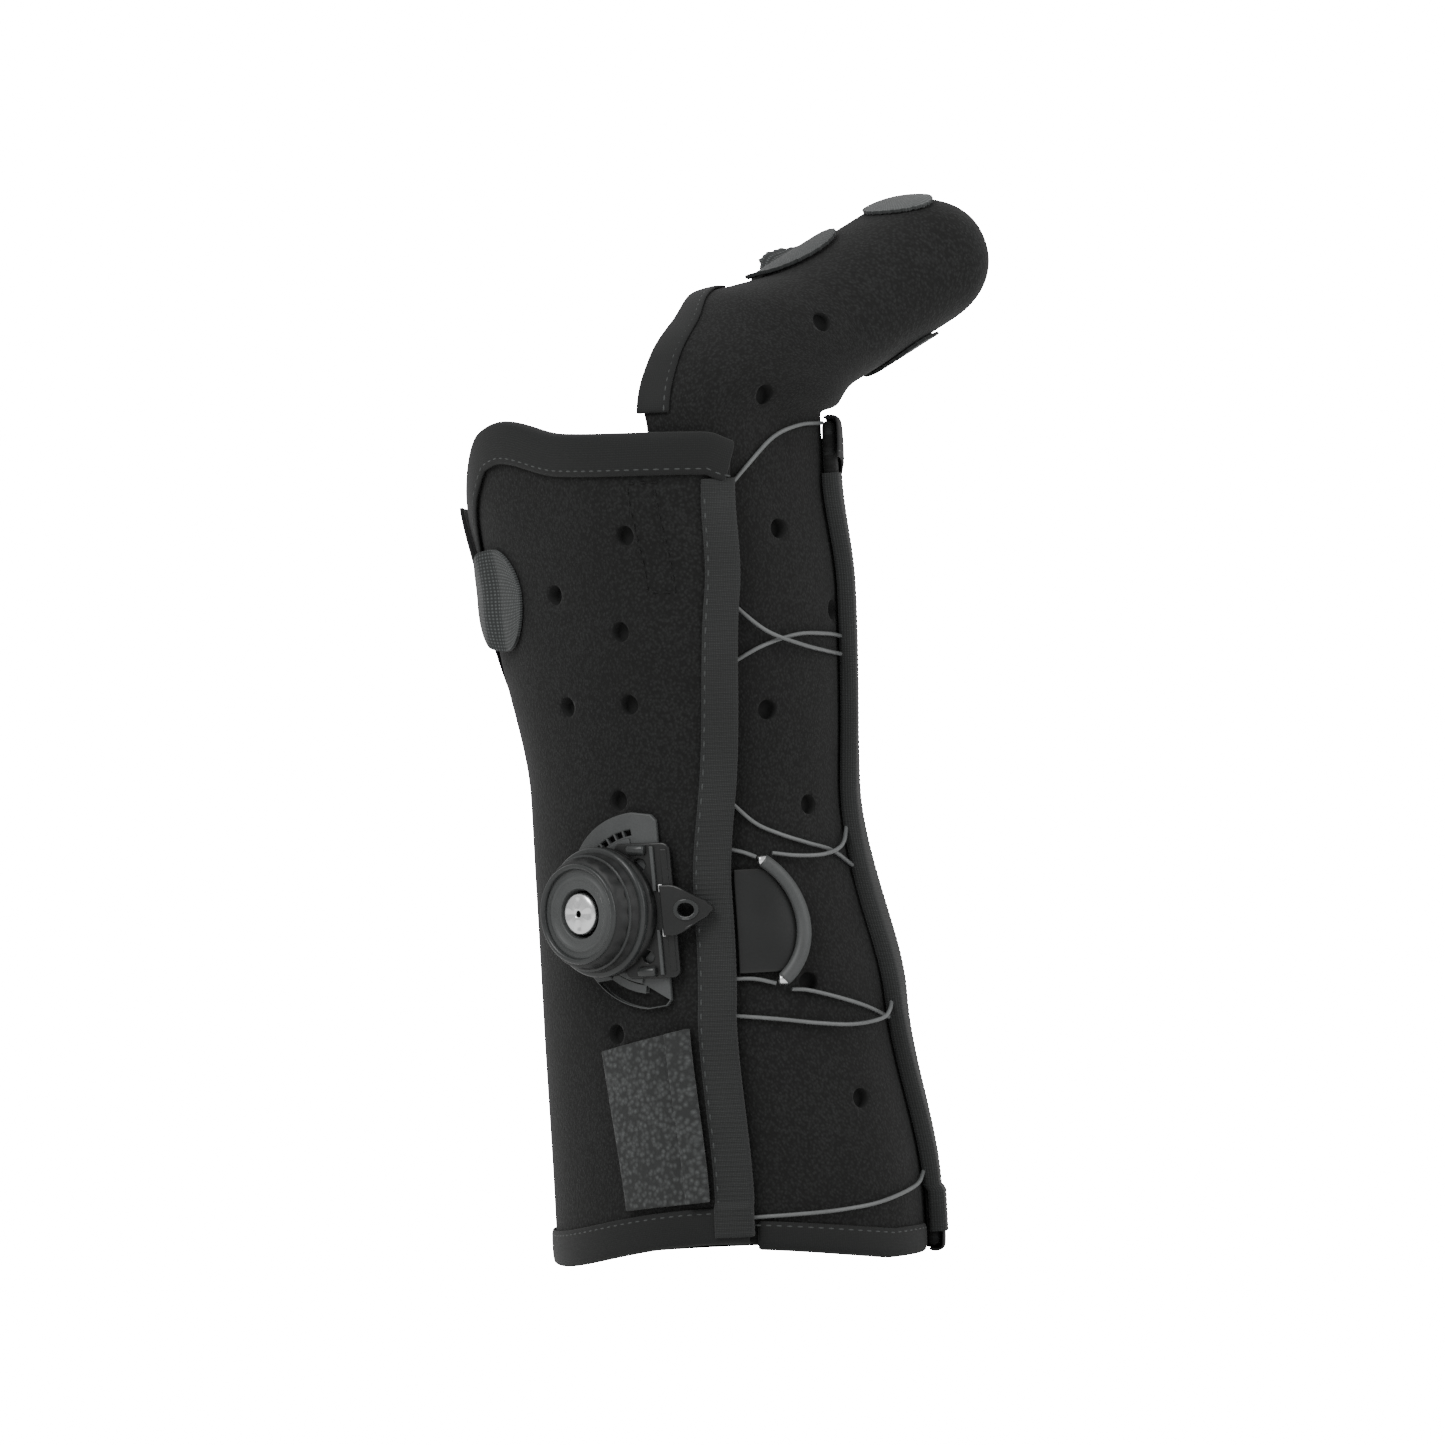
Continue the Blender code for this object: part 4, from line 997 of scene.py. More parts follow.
def plate(name, outlines, low, high, place, material, bevel=0.25 * MM):
    """A plate between two lifts from closed outlines, laid on place(across, up, lift)."""
    curve = bpy.data.curves.new(name, "CURVE")
    curve.dimensions = "2D"
    curve.fill_mode = "BOTH"
    curve.extrude = (high - low) / 2 - bevel
    curve.bevel_depth = bevel
    curve.bevel_resolution = 1
    curve.offset = -bevel
    for points in outlines:
        line = curve.splines.new("POLY")
        line.points.add(len(points) - 1)
        line.use_cyclic_u = True
        for spot, (x, y) in zip(line.points, points):
            spot.co = (x, y, 0, 1)
    drawn = bpy.data.objects.new(name, curve)
    scene.collection.objects.link(drawn)
    mesh = bpy.data.meshes.new_from_object(evaluated(drawn))
    bpy.data.objects.remove(drawn)
    bm = bmesh.new()
    bm.from_mesh(mesh)
    bmesh.ops.remove_doubles(bm, verts=bm.verts, dist=1e-6)
    xs = [v.co.x for v in bm.verts]
    x = min(xs) + STRIP
    while x < max(xs):
        bmesh.ops.bisect_plane(bm, geom=bm.verts[:] + bm.edges[:] + bm.faces[:],
                               plane_co=(x, 0, 0), plane_no=(1, 0, 0))
        x += STRIP
    for vert in bm.verts:
        vert.co = place(vert.co.x, vert.co.y, vert.co.z + (low + high) / 2)
    bmesh.ops.recalc_face_normals(bm, faces=bm.faces)
    made = add_piece(name, bm, material)
    made.data.shade_flat()
    return made


def turned(name, profile, material, place, sides=72, shape=None):
    """A ring spun from a closed profile of radius and height in millimetres."""
    bm = bmesh.new()
    ring = [bm.verts.new((r * MM, 0, h * MM)) for r, h in profile]
    edges = [bm.edges.new((a, b)) for a, b in zip(ring, ring[1:] + ring[:1])]
    bmesh.ops.spin(bm, geom=ring + edges, axis=(0, 0, 1), cent=(0, 0, 0), angle=2 * pi,
                   steps=sides, use_merge=True)
    bmesh.ops.remove_doubles(bm, verts=bm.verts, dist=1e-6)
    bmesh.ops.recalc_face_normals(bm, faces=bm.faces)
    for vert in bm.verts:
        if shape:
            vert.co = shape(vert.co)
        vert.co = place @ vert.co
    made = add_piece(name, bm, material)
    add_bevel(made, TURNED_BEVEL, 28)
    return apply_modifiers(made)


def arc(radius, start, end, count, centre=(0.0, 0.0)):
    """Points of an arc between two angles."""
    angles = [radians(start + (end - start) * i / count) for i in range(count + 1)]
    return [(centre[0] + radius * cos(a), centre[1] + radius * sin(a)) for a in angles]


print("dial axis", [round(c, 4) for c in dial_out])

# %% [markdown]
# The dial sits on a crescent flange of grey nylon that is sewn to the wrap through two
# rows of slots. A round seat carries the knob, and a black housing beside it leads the
# lace out through two ports, with a light bar and two steel pins on it.

# %% Dial base
FLANGE_EDGE = 15.6 * MM
FLANGE_RADIUS = 24.5 * MM
FLANGE_HALF = 23.5 * MM
FLANGE_CENTRE = FLANGE_EDGE - 3.5 * MM
HOUSING_START = 5.0 * MM
HOUSING_END = 18.5 * MM
HOUSING_HALF = 16.0 * MM
HOUSING_TOP = 2.9 * MM
SLOT_START = 51
SLOT_PITCH = 7.0
SLOT_HALF = 2.6
SLOT_COUNT = 5
PORT_HEIGHT = 3.2 * MM
PORT_RADIUS = 1.3 * MM
PIN_RADIUS = 0.6 * MM


def oval(radius_x, radius_y, angle=90.0, count=40):
    """The left half of the flange's edge from bottom to top."""
    return [(FLANGE_CENTRE - radius_x * cos(radians(a)), radius_y * sin(radians(a)))
            for a in [-angle + 2 * angle * i / count for i in range(count + 1)]]


flange_outline = oval(FLANGE_RADIUS, FLANGE_HALF, 84)
flange_outline += [
    (FLANGE_EDGE - 1.2 * MM, FLANGE_HALF - 0.8 * MM), (FLANGE_EDGE, FLANGE_HALF - 2.2 * MM),
    (FLANGE_EDGE, -FLANGE_HALF + 2.2 * MM), (FLANGE_EDGE - 1.2 * MM, -FLANGE_HALF + 0.8 * MM),
]
slots = []
for side_up in (-1, 1):
    for i in range(SLOT_COUNT):
        middle = SLOT_START + SLOT_PITCH * i
        inner, outer = FLANGE_RADIUS - 5.6 * MM, FLANGE_RADIUS - 4.2 * MM
        low, high = middle - SLOT_HALF, middle + SLOT_HALF
        corners = ((inner, low), (outer, low), (outer, high), (inner, high))
        slots.append([(FLANGE_CENTRE - r * cos(radians(a)),
                       side_up * r * sin(radians(a)) * FLANGE_HALF / FLANGE_RADIUS)
                      for r, a in corners[::side_up]])
flange = plate("dial_flange", [flange_outline] + slots, GAP, 1.7 * MM, dial_surface,
               GREY_NYLON, 0.3 * MM)
dress(flange, "dial_base", slot="grey_plastic")
ridge_outer = oval(FLANGE_RADIUS - 6.2 * MM, FLANGE_HALF - 6.0 * MM, 80, 30)
ridge_inner = oval(FLANGE_RADIUS - 7.6 * MM, FLANGE_HALF - 7.4 * MM, 80, 30)
ridge = plate("flange_ridge", [ridge_outer + ridge_inner[::-1]], 1.2 * MM, 2.3 * MM,
              dial_surface, GREY_NYLON)
dress(ridge, slot="grey_plastic")


def on_seat(point):
    """The seat's foot follows the wrap and its top stays flat."""
    if point.z > 1.0 * MM:
        return point
    return dial_place.inverted() @ dial_surface(point.x, point.y, GAP + 0.6 * MM)


SEAT_PROFILE = ((0.6, 0.0), (15.4, 0.0), (15.4, 2.4), (14.9, 3.2), (0.6, 3.2))
seat = turned("dial_seat", SEAT_PROFILE, BLACK_NYLON, dial_place, 56, on_seat)
dress(seat, slot="black_plastic")

corner = 1.6 * MM
right, left = HOUSING_END - corner, HOUSING_START + corner
top = HOUSING_HALF - corner
box_outline = (arc(corner, 0, 90, 4, (right, top)) + arc(corner, 90, 180, 4, (left, top))
               + arc(corner, 180, 270, 4, (left, -top)) + arc(corner, 270, 360, 4, (right, -top)))
hooks = [arc(1.5 * MM, 0, 315, 7, (11.3 * MM, up * MM)) for up in (-10.8, 10.8)]
housing = plate("lace_housing", [box_outline] + hooks, 1.4 * MM, HOUSING_TOP, dial_surface,
                BLACK_NYLON, 0.35 * MM)
dress(housing, slot="black_plastic")

# name, middle across, lower and upper end in mm, half width and rise in mm, material
HOUSING_BARS = (
    ("housing_bar_1", 14.7, 4.6, 15.2, 0.38, 0.7, GREY_NYLON),
    ("housing_bar_2", 14.7, -15.2, -4.6, 0.38, 0.7, GREY_NYLON),
    ("housing_strip_3", 17.2, 5.6, 14.4, 0.7, 0.25, BLACK_NYLON),
    ("housing_strip_4", 17.2, -14.4, -5.6, 0.7, 0.25, BLACK_NYLON),
)
for name, x, low, high, half, proud, material in HOUSING_BARS:
    bar_outline = [((x - half) * MM, low * MM), ((x + half) * MM, low * MM),
                   ((x + half) * MM, high * MM), ((x - half) * MM, high * MM)]
    bar = plate(name, [bar_outline], HOUSING_TOP - 0.3 * MM, HOUSING_TOP + proud * MM,
                dial_surface, material, 0.15 * MM)
    dress(bar, slot="grey_plastic")


def rod(name, start, end, radius, material, sides=16):
    """A short round rod with softened ends between two points."""
    way = end - start
    turn = way.to_track_quat("Z", "Y").to_matrix().to_4x4()
    bm = bmesh.new()
    bmesh.ops.create_cone(bm, cap_ends=True, segments=sides, radius1=radius, radius2=radius,
                          depth=way.length, matrix=Matrix.Translation((start + end) / 2) @ turn)
    rims = [e for e in bm.edges
            if len(e.link_faces) == 2 and any(len(f.verts) > 4 for f in e.link_faces)]
    bmesh.ops.bevel(bm, geom=rims, offset=radius * 0.35, segments=2, profile=0.5,
                    affect="EDGES", material=-1)
    return add_piece(name, bm, material)


for number, up in enumerate((-14.4, 14.4), start=1):
    ends = [dial_surface(x * MM, up * MM, PORT_HEIGHT) for x in (9.0, 13.2)]
    dress(rod(f"lace_port_{number}", *ends, PORT_RADIUS, RIM_NYLON), slot="grey_plastic")
for number, up in enumerate((-5.2, 5.2), start=1):
    ends = [dial_surface(16.0 * MM, (up + half) * MM, 3.4 * MM) for half in (-1.0, 1.0)]
    dress(rod(f"housing_pin_{number}", *ends, PIN_RADIUS, STEEL), slot="steel")

# %% [markdown]
# The knob is built of rings: a polished rim at its foot, a rubber grip with shallow
# scallops for the fingers, a bevelled ring on top, and a dished face round a steel axle
# cap with a small eye. All of them turn with the knob, except for the cap, which the
# axle holds.

# %% Knob and axle cap
KNOB_FLOOR = DIAL_SEAT_HEIGHT + GAP
knob_place = dial_place @ Matrix.Translation((0, 0, KNOB_FLOOR))
SCALLOPS = 20


def scalloped(point):
    """Shallow finger scallops round the middle of the grip."""
    r = hypot(point.x, point.y)
    amount = smooth((r - 12.4 * MM) / (0.6 * MM)) * smooth((point.z - 1.8 * MM) / (0.8 * MM))
    depth = 0.30 * MM * amount * (0.5 + 0.5 * cos(SCALLOPS * atan2(point.y, point.x))) ** 2
    return Vector((point.x * (1 - depth / r), point.y * (1 - depth / r), point.z))


def dimpled(point):
    """Four shallow dimples in the cap for a driver's pins."""
    r = hypot(point.x, point.y)
    ring = exp(-((r - 2.9 * MM) / (0.8 * MM)) ** 2)
    dip = 0.45 * MM * ring * max(cos(4 * atan2(point.y, point.x)), 0.0)
    return Vector((point.x, point.y, point.z - (dip if point.z > 7 * MM else 0.0)))


# name, material, shaping function, profile of radius and height in mm
KNOB_RINGS = (
    ("knob_rim", RIM_NYLON, None,
     ((12.8, 0.0), (15.2, 0.0), (15.5, 0.3), (15.5, 1.5), (15.1, 1.95), (14.5, 2.05),
      (12.8, 2.05))),
    ("knob_grip", DARK_RUBBER, scalloped,
     ((11.0, 1.0), (14.4, 1.9), (14.0, 2.6), (13.7, 3.4), (13.5, 4.2), (13.35, 5.0),
      (13.25, 5.8), (13.0, 6.6), (12.5, 7.3), (11.9, 7.7), (11.0, 7.7))),
    ("knob_band", RIM_NYLON, None, ((13.2, 4.15), (13.85, 4.3), (13.85, 4.6), (13.2, 4.8))),
    ("knob_top_ring", RIM_NYLON, None,
     ((10.6, 7.0), (11.9, 7.0), (12.0, 7.9), (11.75, 8.35), (11.2, 8.5), (10.8, 8.3),
      (10.5, 7.7))),
    ("knob_face", GREY_NYLON, None,
     ((5.4, 5.4), (11.0, 5.4), (11.0, 7.45), (10.0, 7.3), (9.3, 7.45), (8.9, 7.75),
      (8.3, 7.75), (8.0, 7.5), (6.9, 7.2), (6.3, 7.35), (6.0, 7.2), (5.7, 6.2))),
)
CAP_PROFILE = (
    (0.75, 5.8), (5.0, 5.8), (5.0, 7.0), (4.7, 7.5), (4.1, 7.8), (3.4, 7.95), (2.6, 8.0),
    (1.5, 8.05), (1.0, 8.0), (0.75, 7.7),
)
for name, material, shape, profile in KNOB_RINGS:
    ring_piece = turned(name, profile, material, knob_place, 120 if shape else 72, shape)
    stands_for = ("dial_knob",) if name == "knob_grip" else ()
    dress(ring_piece, *stands_for, body="knob", slot="black_plastic")
cap = turned("axle_cap", CAP_PROFILE, STEEL, knob_place, 72, dimpled)
dress(cap, "dial_axle", slot="steel")

# %% [markdown]
# A keeper tab of black nylon juts from the housing over the ribbon, with a hole and a
# raised ring round it. It starts above the housing and settles onto the ribbon.

# %% Keeper tab
KEEPER_START = 16.2 * MM
KEEPER_LENGTH = 10.5 * MM
KEEPER_HALF = 6.0 * MM


def keeper_surface(across, up, lift):
    settle = smooth((across - HOUSING_END - 2.2 * MM) / (5 * MM))
    return dial_surface(across, up, (3.5 - 1.2 * settle) * MM + lift)


half_edge = []
for i in range(17):
    share = i / 16
    taper = 1 - 0.72 * smooth((share - 0.2) / 0.8)
    width = KEEPER_HALF * taper * (1 - 0.75 * smooth((share - 0.86) / 0.14))
    half_edge.append((KEEPER_START + KEEPER_LENGTH * share, width))
keeper_outline = half_edge + [(x, -y) for x, y in reversed(half_edge)]
keeper_eye = (KEEPER_START + KEEPER_LENGTH * 0.5, 0.0)
keeper = plate("keeper", [keeper_outline, arc(1.6 * MM, 0, 345, 23, keeper_eye)], 0.0, 1.4 * MM,
               keeper_surface, BLACK_NYLON, 0.3 * MM)
dress(keeper, "keeper_tab", slot="black_plastic")
collar_rings = [arc(2.5 * MM, 0, 348, 29, keeper_eye), arc(1.65 * MM, 0, 345, 23, keeper_eye)]
collar = plate("keeper_collar", collar_rings, 1.2 * MM, 1.85 * MM, keeper_surface,
               RIM_NYLON, 0.2 * MM)
dress(collar, slot="black_plastic")

# %% [markdown]
# Opposite the keeper a half-ring guide turns the lace back. It is a rounded bar on a thin
# dark plate, with bright ends where the lace enters.

# %% Lace guide
GUIDE_HEIGHT = 0.0821
GUIDE_ANGLE = -14.1
GUIDE_RADIUS = 0.018
GUIDE_SWEEP = 51.7
GUIDE_LIFT = 1.9 * MM
GUIDE_END_HALF = 1.2 * MM
reach = ring_radius(*section(GUIDE_HEIGHT)[:3], GUIDE_ANGLE)
guide_middle = GUIDE_ANGLE - degrees(GUIDE_RADIUS / reach)


def guide_surface(across, up, lift):
    height = GUIDE_HEIGHT + up
    return skin(height, arc_turn(height, guide_middle, across), GUTTER_FACE + 0.6 * MM + lift)


bm = bmesh.new()
bmesh.ops.create_circle(bm, segments=20, radius=1.0)
for vert in bm.verts:
    x, y = vert.co.x, vert.co.y
    start = Matrix.Rotation(radians(-GUIDE_SWEEP), 3, "Z")
    vert.co = start @ Vector((GUIDE_RADIUS + 1.7 * MM * x, 0, GUIDE_LIFT + 1.45 * MM * y))
bmesh.ops.spin(bm, geom=bm.verts[:] + bm.edges[:], axis=(0, 0, 1), cent=(0, 0, 0),
               angle=radians(2 * GUIDE_SWEEP), steps=48)
bmesh.ops.holes_fill(bm, edges=[e for e in bm.edges if len(e.link_faces) == 1])
bmesh.ops.recalc_face_normals(bm, faces=bm.faces)
for vert in bm.verts:
    vert.co = guide_surface(*vert.co)
bow = add_piece("guide_bow", bm, GREY_NYLON)
dress(bow, "lace_guide", slot="grey_plastic")


def guide_plate_point(up, across, lift):
    sweep = radians(-43 + 86 * up)
    height = GUIDE_HEIGHT + GUIDE_RADIUS * sin(sweep)
    inner = dorsal_edge(height) + 2.0
    outer = arc_turn(height, guide_middle, GUIDE_RADIUS * cos(sweep))
    return skin(height, inner + (outer - inner) * across, GUTTER_FACE + 1.5 * MM + lift)


guide_plate = cloth_grid("guide_plate", guide_plate_point, 26, 16, (0.026, 0.012), BLACK_NYLON)
give_wall(guide_plate, 0.9 * MM, round_edge=0.2 * MM)
dress(guide_plate, slot="black_plastic")
for number, turn in enumerate((-GUIDE_SWEEP, GUIDE_SWEEP), start=1):
    at = radians(turn)
    ends = [guide_surface(GUIDE_RADIUS * cos(at) + half, GUIDE_RADIUS * sin(at), GUIDE_LIFT)
            for half in (-GUIDE_END_HALF, GUIDE_END_HALF)]
    tip = rod(f"guide_end_{number}", *ends, 1.25 * MM, STEEL)
    dress(tip, slot="grey_plastic")

# %% [markdown]
# The lace is 1 mm thick and taut. It runs back and forth between the two lacing edges,
# always held at both ends, so each stretch is a fine tube on one smooth curve through a
# few chosen points. Where one stretch passes over another it rises by a little more than
# its own thickness.

# %% Laces
LACE_RADIUS = 0.5 * MM
LACE_LIFT = GUTTER_FACE + 1.1 * MM
LACE_RISE = 1.4 * MM
# angle (None at a lacing edge), height, share of the rise over another lace
LACE_ROUTES = {
    "lace_1": ((None, 0.1840, 0), (-9.2, 0.1898, 0), (1.5, 0.1960, 0), (12.7, 0.1985, 0),
               (None, 0.1988, 0)),
    "lace_2": ((None, 0.1571, 0), (-12.1, 0.1505, 1), (1.0, 0.1467, 1), (14.9, 0.1447, 0),
               (None, 0.1436, 0)),
    "lace_3": ((None, 0.1432, 0), (-12.5, 0.1469, 0), (1.3, 0.1491, 0), (15.3, 0.1488, 0),
               (None, 0.1479, 0)),
    "lace_4": ((None, 0.1104, 0), (-21.1, 0.1051, 0), (-13.1, 0.1022, 0), (-2.7, 0.0996, 0),
               (7.8, 0.0974, 0), (None, 0.0930, 0)),
    "lace_5": ((-17.0, 0.0978, 0), (-9.0, 0.0969, 0.4), (0.0, 0.0967, 1), (7.8, 0.0976, 1),
               (15.0, 0.0994, 0.5), (None, 0.1030, 0)),
    "lace_6": ((-19.6, 0.0655, 0), (-14.2, 0.0650, 0), (-4.0, 0.0628, 0), (7.7, 0.0601, 0),
               (None, 0.0566, 0)),
    "lace_7": ((None, 0.0600, 0), (-24.3, 0.0586, 0), (-11.8, 0.0571, 0), (0.9, 0.0562, 0.3),
               (13.0, 0.0570, 1), (19.0, 0.0590, 1), (None, 0.0610, 0.6)),
    "lace_8": ((None, 0.0121, 0), (-25.0, 0.0124, 0), (-13.1, 0.0128, 0), (0.3, 0.0139, 0),
               (17.8, 0.0166, 0), (None, 0.0198, 0)),
    "dial_lace_upper": ((None, 0.0994, 0), (-27.0, 0.0984, 0), (-22.8, 0.0971, 0)),
    "dial_lace_lower": ((None, 0.0686, 0), (-31.0, 0.0684, 0), (-24.4, 0.0671, 0)),
}


def lace_curve(name, points):
    """A tube on one smooth curve through the points."""
    curve = bpy.data.curves.new(name, "CURVE")
    curve.dimensions = "3D"
    curve.bevel_depth = LACE_RADIUS
    curve.bevel_resolution = 3
    curve.use_fill_caps = True
    ends = [2 * points[0] - points[1]] + points + [2 * points[-1] - points[-2]]
    fine = []
    for a, b, c, d in zip(ends, ends[1:], ends[2:], ends[3:]):
        count = max(round((c - b).length / (0.9 * MM)), 3)
        for t in (i / count for i in range(count)):
            fine.append(0.5 * (2 * b + (c - a) * t + (2 * a - 5 * b + 4 * c - d) * t * t
                               + (3 * b - a - 3 * c + d) * t * t * t))
    fine.append(points[-1])
    line = curve.splines.new("POLY")
    line.points.add(len(fine) - 1)
    for spot, where in zip(line.points, fine):
        spot.co = (*where, 1)
    made = bpy.data.objects.new(name + "_braid", curve)
    curve.materials.append(CORD)
    scene.collection.objects.link(made)
    return made


for name, route in LACE_ROUTES.items():
    points = []
    for i, (angle, height, over) in enumerate(route):
        if angle is None:
            angle = dorsal_edge(height) - 0.4 if i == 0 else volar_edge(height) + 0.4
        points.append(skin(height, angle, LACE_LIFT + over * LACE_RISE))
    dress(lace_curve(name, points), name, slot="lace")

# %% [markdown]
# The pull tab is a rectangle of brushed loop cloth with its right edge folded back. The
# grid's columns run across the tab, round the fold and back over it.

# %% Pull tab
# angle and height share, upper left first and then clockwise
PULL_TAB_CORNERS = ((-87.0, 0.264), (-53.5, 0.288), (-53.0, 0.082), (-81.9, 0.073))
PULL_TAB_WIDTH = 23 * MM
PULL_TAB_WALL = 1.0 * MM
TAB_FOLD = 0.85 * MM
FOLD_OVER = 4.2 * MM


def pull_tab_point(up, across, lift):
    run = across * (PULL_TAB_WIDTH + pi * TAB_FOLD + FOLD_OVER)
    rise_at = 1.15 * MM
    if run <= PULL_TAB_WIDTH:
        x = run
    elif run <= PULL_TAB_WIDTH + pi * TAB_FOLD:
        turn = (run - PULL_TAB_WIDTH) / TAB_FOLD
        x = PULL_TAB_WIDTH + TAB_FOLD * sin(turn)
        rise_at += TAB_FOLD * (1 - cos(turn))
    else:
        x = PULL_TAB_WIDTH - (run - PULL_TAB_WIDTH - pi * TAB_FOLD)
        rise_at += 2 * TAB_FOLD
    share = x / PULL_TAB_WIDTH
    rough = 0.06 * MM * sin(up * 71 + across * 23) * sin(across * 57 - up * 13)
    upper_left, upper_right, lower_right, lower_left = PULL_TAB_CORNERS
    left_angle = lower_left[0] + (upper_left[0] - lower_left[0]) * up
    right_angle = lower_right[0] + (upper_right[0] - lower_right[0]) * up
    bottom = lower_left[1] + (lower_right[1] - lower_left[1]) * share
    top = upper_left[1] + (upper_right[1] - upper_left[1]) * share
    return skin((bottom + (top - bottom) * up) * PANEL_HEIGHT,
                left_angle + (right_angle - left_angle) * share, rise_at + rough + lift)


tab = cloth_grid("loop_pull_tab", pull_tab_point, 60, 56, (0.030, 0.038), LOOP)
give_wall(tab, PULL_TAB_WALL, offset=0.0, round_edge=0.25 * MM)
dress(tab, "pull_tab", slot="hook_fabric")

# %% [markdown]
# A flat strap crosses the web of the thumb and closes with an oval tab of hook tape. Three
# more tabs close the finger pocket. Each oval starts as a square grid that is pressed into
# a round one, which leaves no pole in its middle.

# %% Web strap and hook tabs
# share along, angle at the lower and the upper edge, height shares of both edges
WEB_STRAP = (
    (0.0, -134.0, -141.5, 0.789, 0.920),
    (0.3, -160.0, -162.0, 0.790, 0.915),
    (0.7, -200.0, -200.0, 0.795, 0.905),
    (1.0, -228.0, -228.0, 0.790, 0.850),
)
STRAP_LIFT = 2.2 * MM
WEB_TAB_ANGLE = -124.5
WEB_TAB_HALF_ANGLE = 13.5
WEB_TAB_HEIGHT = 0.806
WEB_TAB_HALF_HEIGHT = 12.2 * MM
WEB_TAB_STEP = -130.5
WEB_TAB_STEP_ANGLE = 7.0
TAB_WALL = 0.8 * MM
TAB_FRAY = 0.03


def strap_point(up, across, lift):
    lower, upper, bottom, top = along(WEB_STRAP, across)
    height = (bottom + (top - bottom) * up) * PANEL_HEIGHT
    return skin(height, lower + (upper - lower) * up, STRAP_LIFT + 0.8 * MM + lift)


strap = cloth_grid("thumb_web_strap", strap_point, 24, 72, (0.075, 0.024), TAPE)
give_wall(strap, 0.9 * MM, round_edge=0.2 * MM)
dress(strap, "web_strap", slot="binding")


def oval_tab(name, node_name, place, material, size, fray=0.0):
    """An oval of hook tape on place(x, y, lift), with x and y from -1 to 1."""
    def point(up, across, lift):
        u, v = 2 * across - 1, 2 * up - 1
        x, y = u * (1 - v * v / 2) ** 0.5, v * (1 - u * u / 2) ** 0.5
        edge = smooth((hypot(x, y) - 0.9) / 0.1)
        wobble = 1 + fray * edge * sin(37 * atan2(y, x)) * sin(11 * atan2(y, x) + 1.0)
        return place(x * wobble, y * wobble, lift)

    made = cloth_grid(name, point, 36, 36, size, material)
    give_wall(made, TAB_WALL, round_edge=0.18 * MM)
    return dress(made, node_name, slot="hook_fabric")


def web_tab_place(x, y, lift):
    where = WEB_TAB_ANGLE + WEB_TAB_HALF_ANGLE * y
    settle = smooth((where - WEB_TAB_STEP) / WEB_TAB_STEP_ANGLE)
    rise_at = STRAP_LIFT + 1.0 * MM
    rise_at += (0.5 * MM - rise_at) * settle
    return skin(WEB_TAB_HEIGHT * PANEL_HEIGHT + WEB_TAB_HALF_HEIGHT * x, where,
                rise_at + TAB_WALL + lift)


oval_tab("web_oval_tab", "web_hook_tab", web_tab_place, HOOK, (0.025, 0.020))
# stage, angle, half its stages, half its degrees, clearance, cloth
FINGER_TABS = (
    (1.26, -108.0, 0.34, 31.0, 0.9 * MM, HOOK),
    # The second tab is the same hook tape as the first and third, with painted light in its paler colour.
    (2.10, -86.0, 0.24, 34.0, 0.3 * MM, HOOK_PAINTED_LIGHT),
    (1.56, 70.0, 0.30, 27.0, 0.3 * MM, HOOK),
)
for number, (*row, material) in enumerate(FINGER_TABS, start=1):
    def tab_place(x, y, lift, row=row):
        stage, angle, half_stage, half_angle, clear = row
        where, round_at = stage + half_stage * x, angle + half_angle * y
        return finger_skin(where, round_at, clear + TAB_WALL + pocket_top(where, round_at) + lift)

    oval_tab(f"finger_oval_tab_{number}", f"finger_hook_tab_{number}", tab_place, material,
             (0.024, 0.022), TAB_FRAY)

# %% [markdown]
# Rows of stitches hold the tapes and the ribbon. A stitch is a small capsule of thread
# that lies along its seam, and all the stitches of a seam are one piece.

# %% Stitches
STITCH_LENGTH = 1.7 * MM
STITCH_PITCH = 2.5 * MM
STITCH_RADIUS = 0.17 * MM
RIBBON_SEAM = -7.2 * MM
RIBBON_STITCH_PITCH = 3.4 * MM
STAY_POCKET_PITCH = 2.9 * MM
# angle and height in mm of the corners of the stitched pocket for a stay
STAY_POCKET = ((-40.8, 186.7), (-49.5, 186.7), (-48.6, 161.0), (-39.8, 160.5), (-40.8, 186.7))


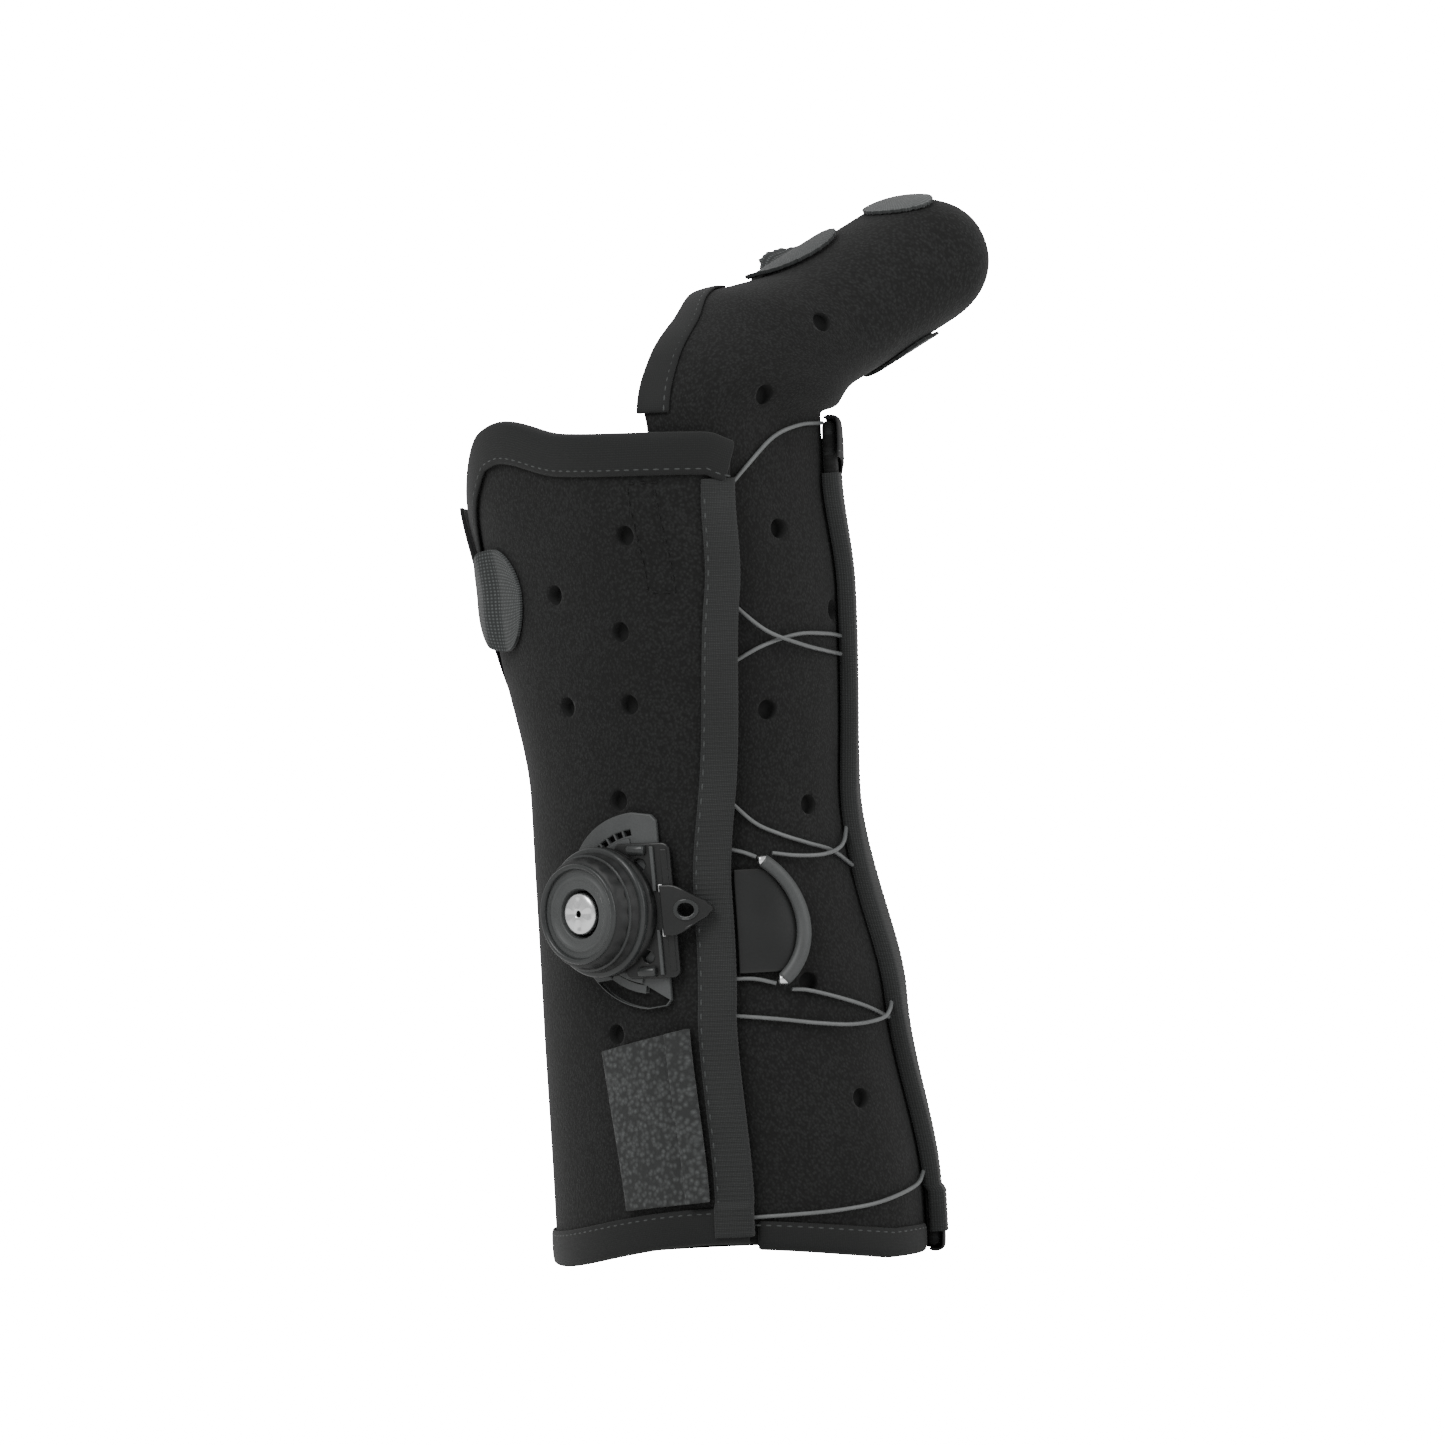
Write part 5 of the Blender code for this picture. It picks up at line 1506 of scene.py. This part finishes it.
def stitch_row(name, place, spots, material=THREAD, pitch=STITCH_PITCH):
    """Stitches at even distances along the spots, each an (a, b) of place(a, b, lift).

    The thread's material reads a UV map, so each row gets one.
    """
    points = [place(a, b, 0.0) for a, b in spots]
    bm = bmesh.new()
    wanted, run = 0.0, 0.0
    for (a, b), p, q in zip(spots, points, points[1:]):
        length = (q - p).length
        while wanted <= run + length:
            at = p.lerp(q, (wanted - run) / max(length, 1e-9))
            out = (place(a, b, 1e-4) - p).normalized()
            way = (q - p).normalized()
            turn = Matrix((way, out.cross(way), out)).transposed().to_4x4()
            size = Matrix.Diagonal((STITCH_LENGTH / 2, STITCH_RADIUS * 1.3, STITCH_RADIUS, 1))
            bmesh.ops.create_uvsphere(bm, u_segments=8, v_segments=6, radius=1.0,
                                      matrix=Matrix.Translation(at) @ turn @ size)
            wanted += pitch
        run += length
    made = add_piece(name, bm, material)
    made.data.uv_layers.new(name="cloth")
    return dress(made, slot="binding")


def seam(inward, distance, count=220, start=0.0, end=1.0):
    """Spots along an edge at a distance in from it."""
    return [inward(start + (end - start) * i / count, distance) for i in range(count + 1)]


def on_cloth(surface, lift_at):
    """The surface with its lift counted from a stitch's own height."""
    return lambda a, b, lift: surface(a, b, lift_at + lift)


def on_finger(stage, angle, lift):
    return finger_skin(stage, angle, flap_lift(stage, angle) + 0.95 * MM + lift)


stitch_row("top_seam", on_cloth(skin, 1.32 * MM), seam(inward_from(top_edge, -1), 7.6 * MM))
stitch_row("cuff_seam", on_cloth(skin, 0.95 * MM), seam(inward_from(cuff_edge, 1), 6.3 * MM))
stitch_row("gutter_seam", on_cloth(skin, GUTTER_FACE + 0.95 * MM),
           seam(inward_from(gutter_edge, 1), 4.8 * MM, 60))
stitch_row("finger_seam", on_finger, seam(finger_inward, 5.6 * MM, 80, 0.02, 0.98))
heights = [z * MM for z in range(16, 186)]
ribbon_spots = [(h, arc_turn(h, dorsal_edge(h), RIBBON_SEAM)) for h in heights]
stitch_row("ribbon_seam", on_cloth(skin, 0.72 * MM), ribbon_spots, pitch=RIBBON_STITCH_PITCH)
walk = []
for (a, z), (b, y) in zip(STAY_POCKET, STAY_POCKET[1:]):
    walk += [((z + (y - z) * i / 20) * MM, a + (b - a) * i / 20) for i in range(20)]
stitch_row("stay_pocket_seam", on_cloth(skin, 0.12 * MM), walk, KNIT, STAY_POCKET_PITCH)
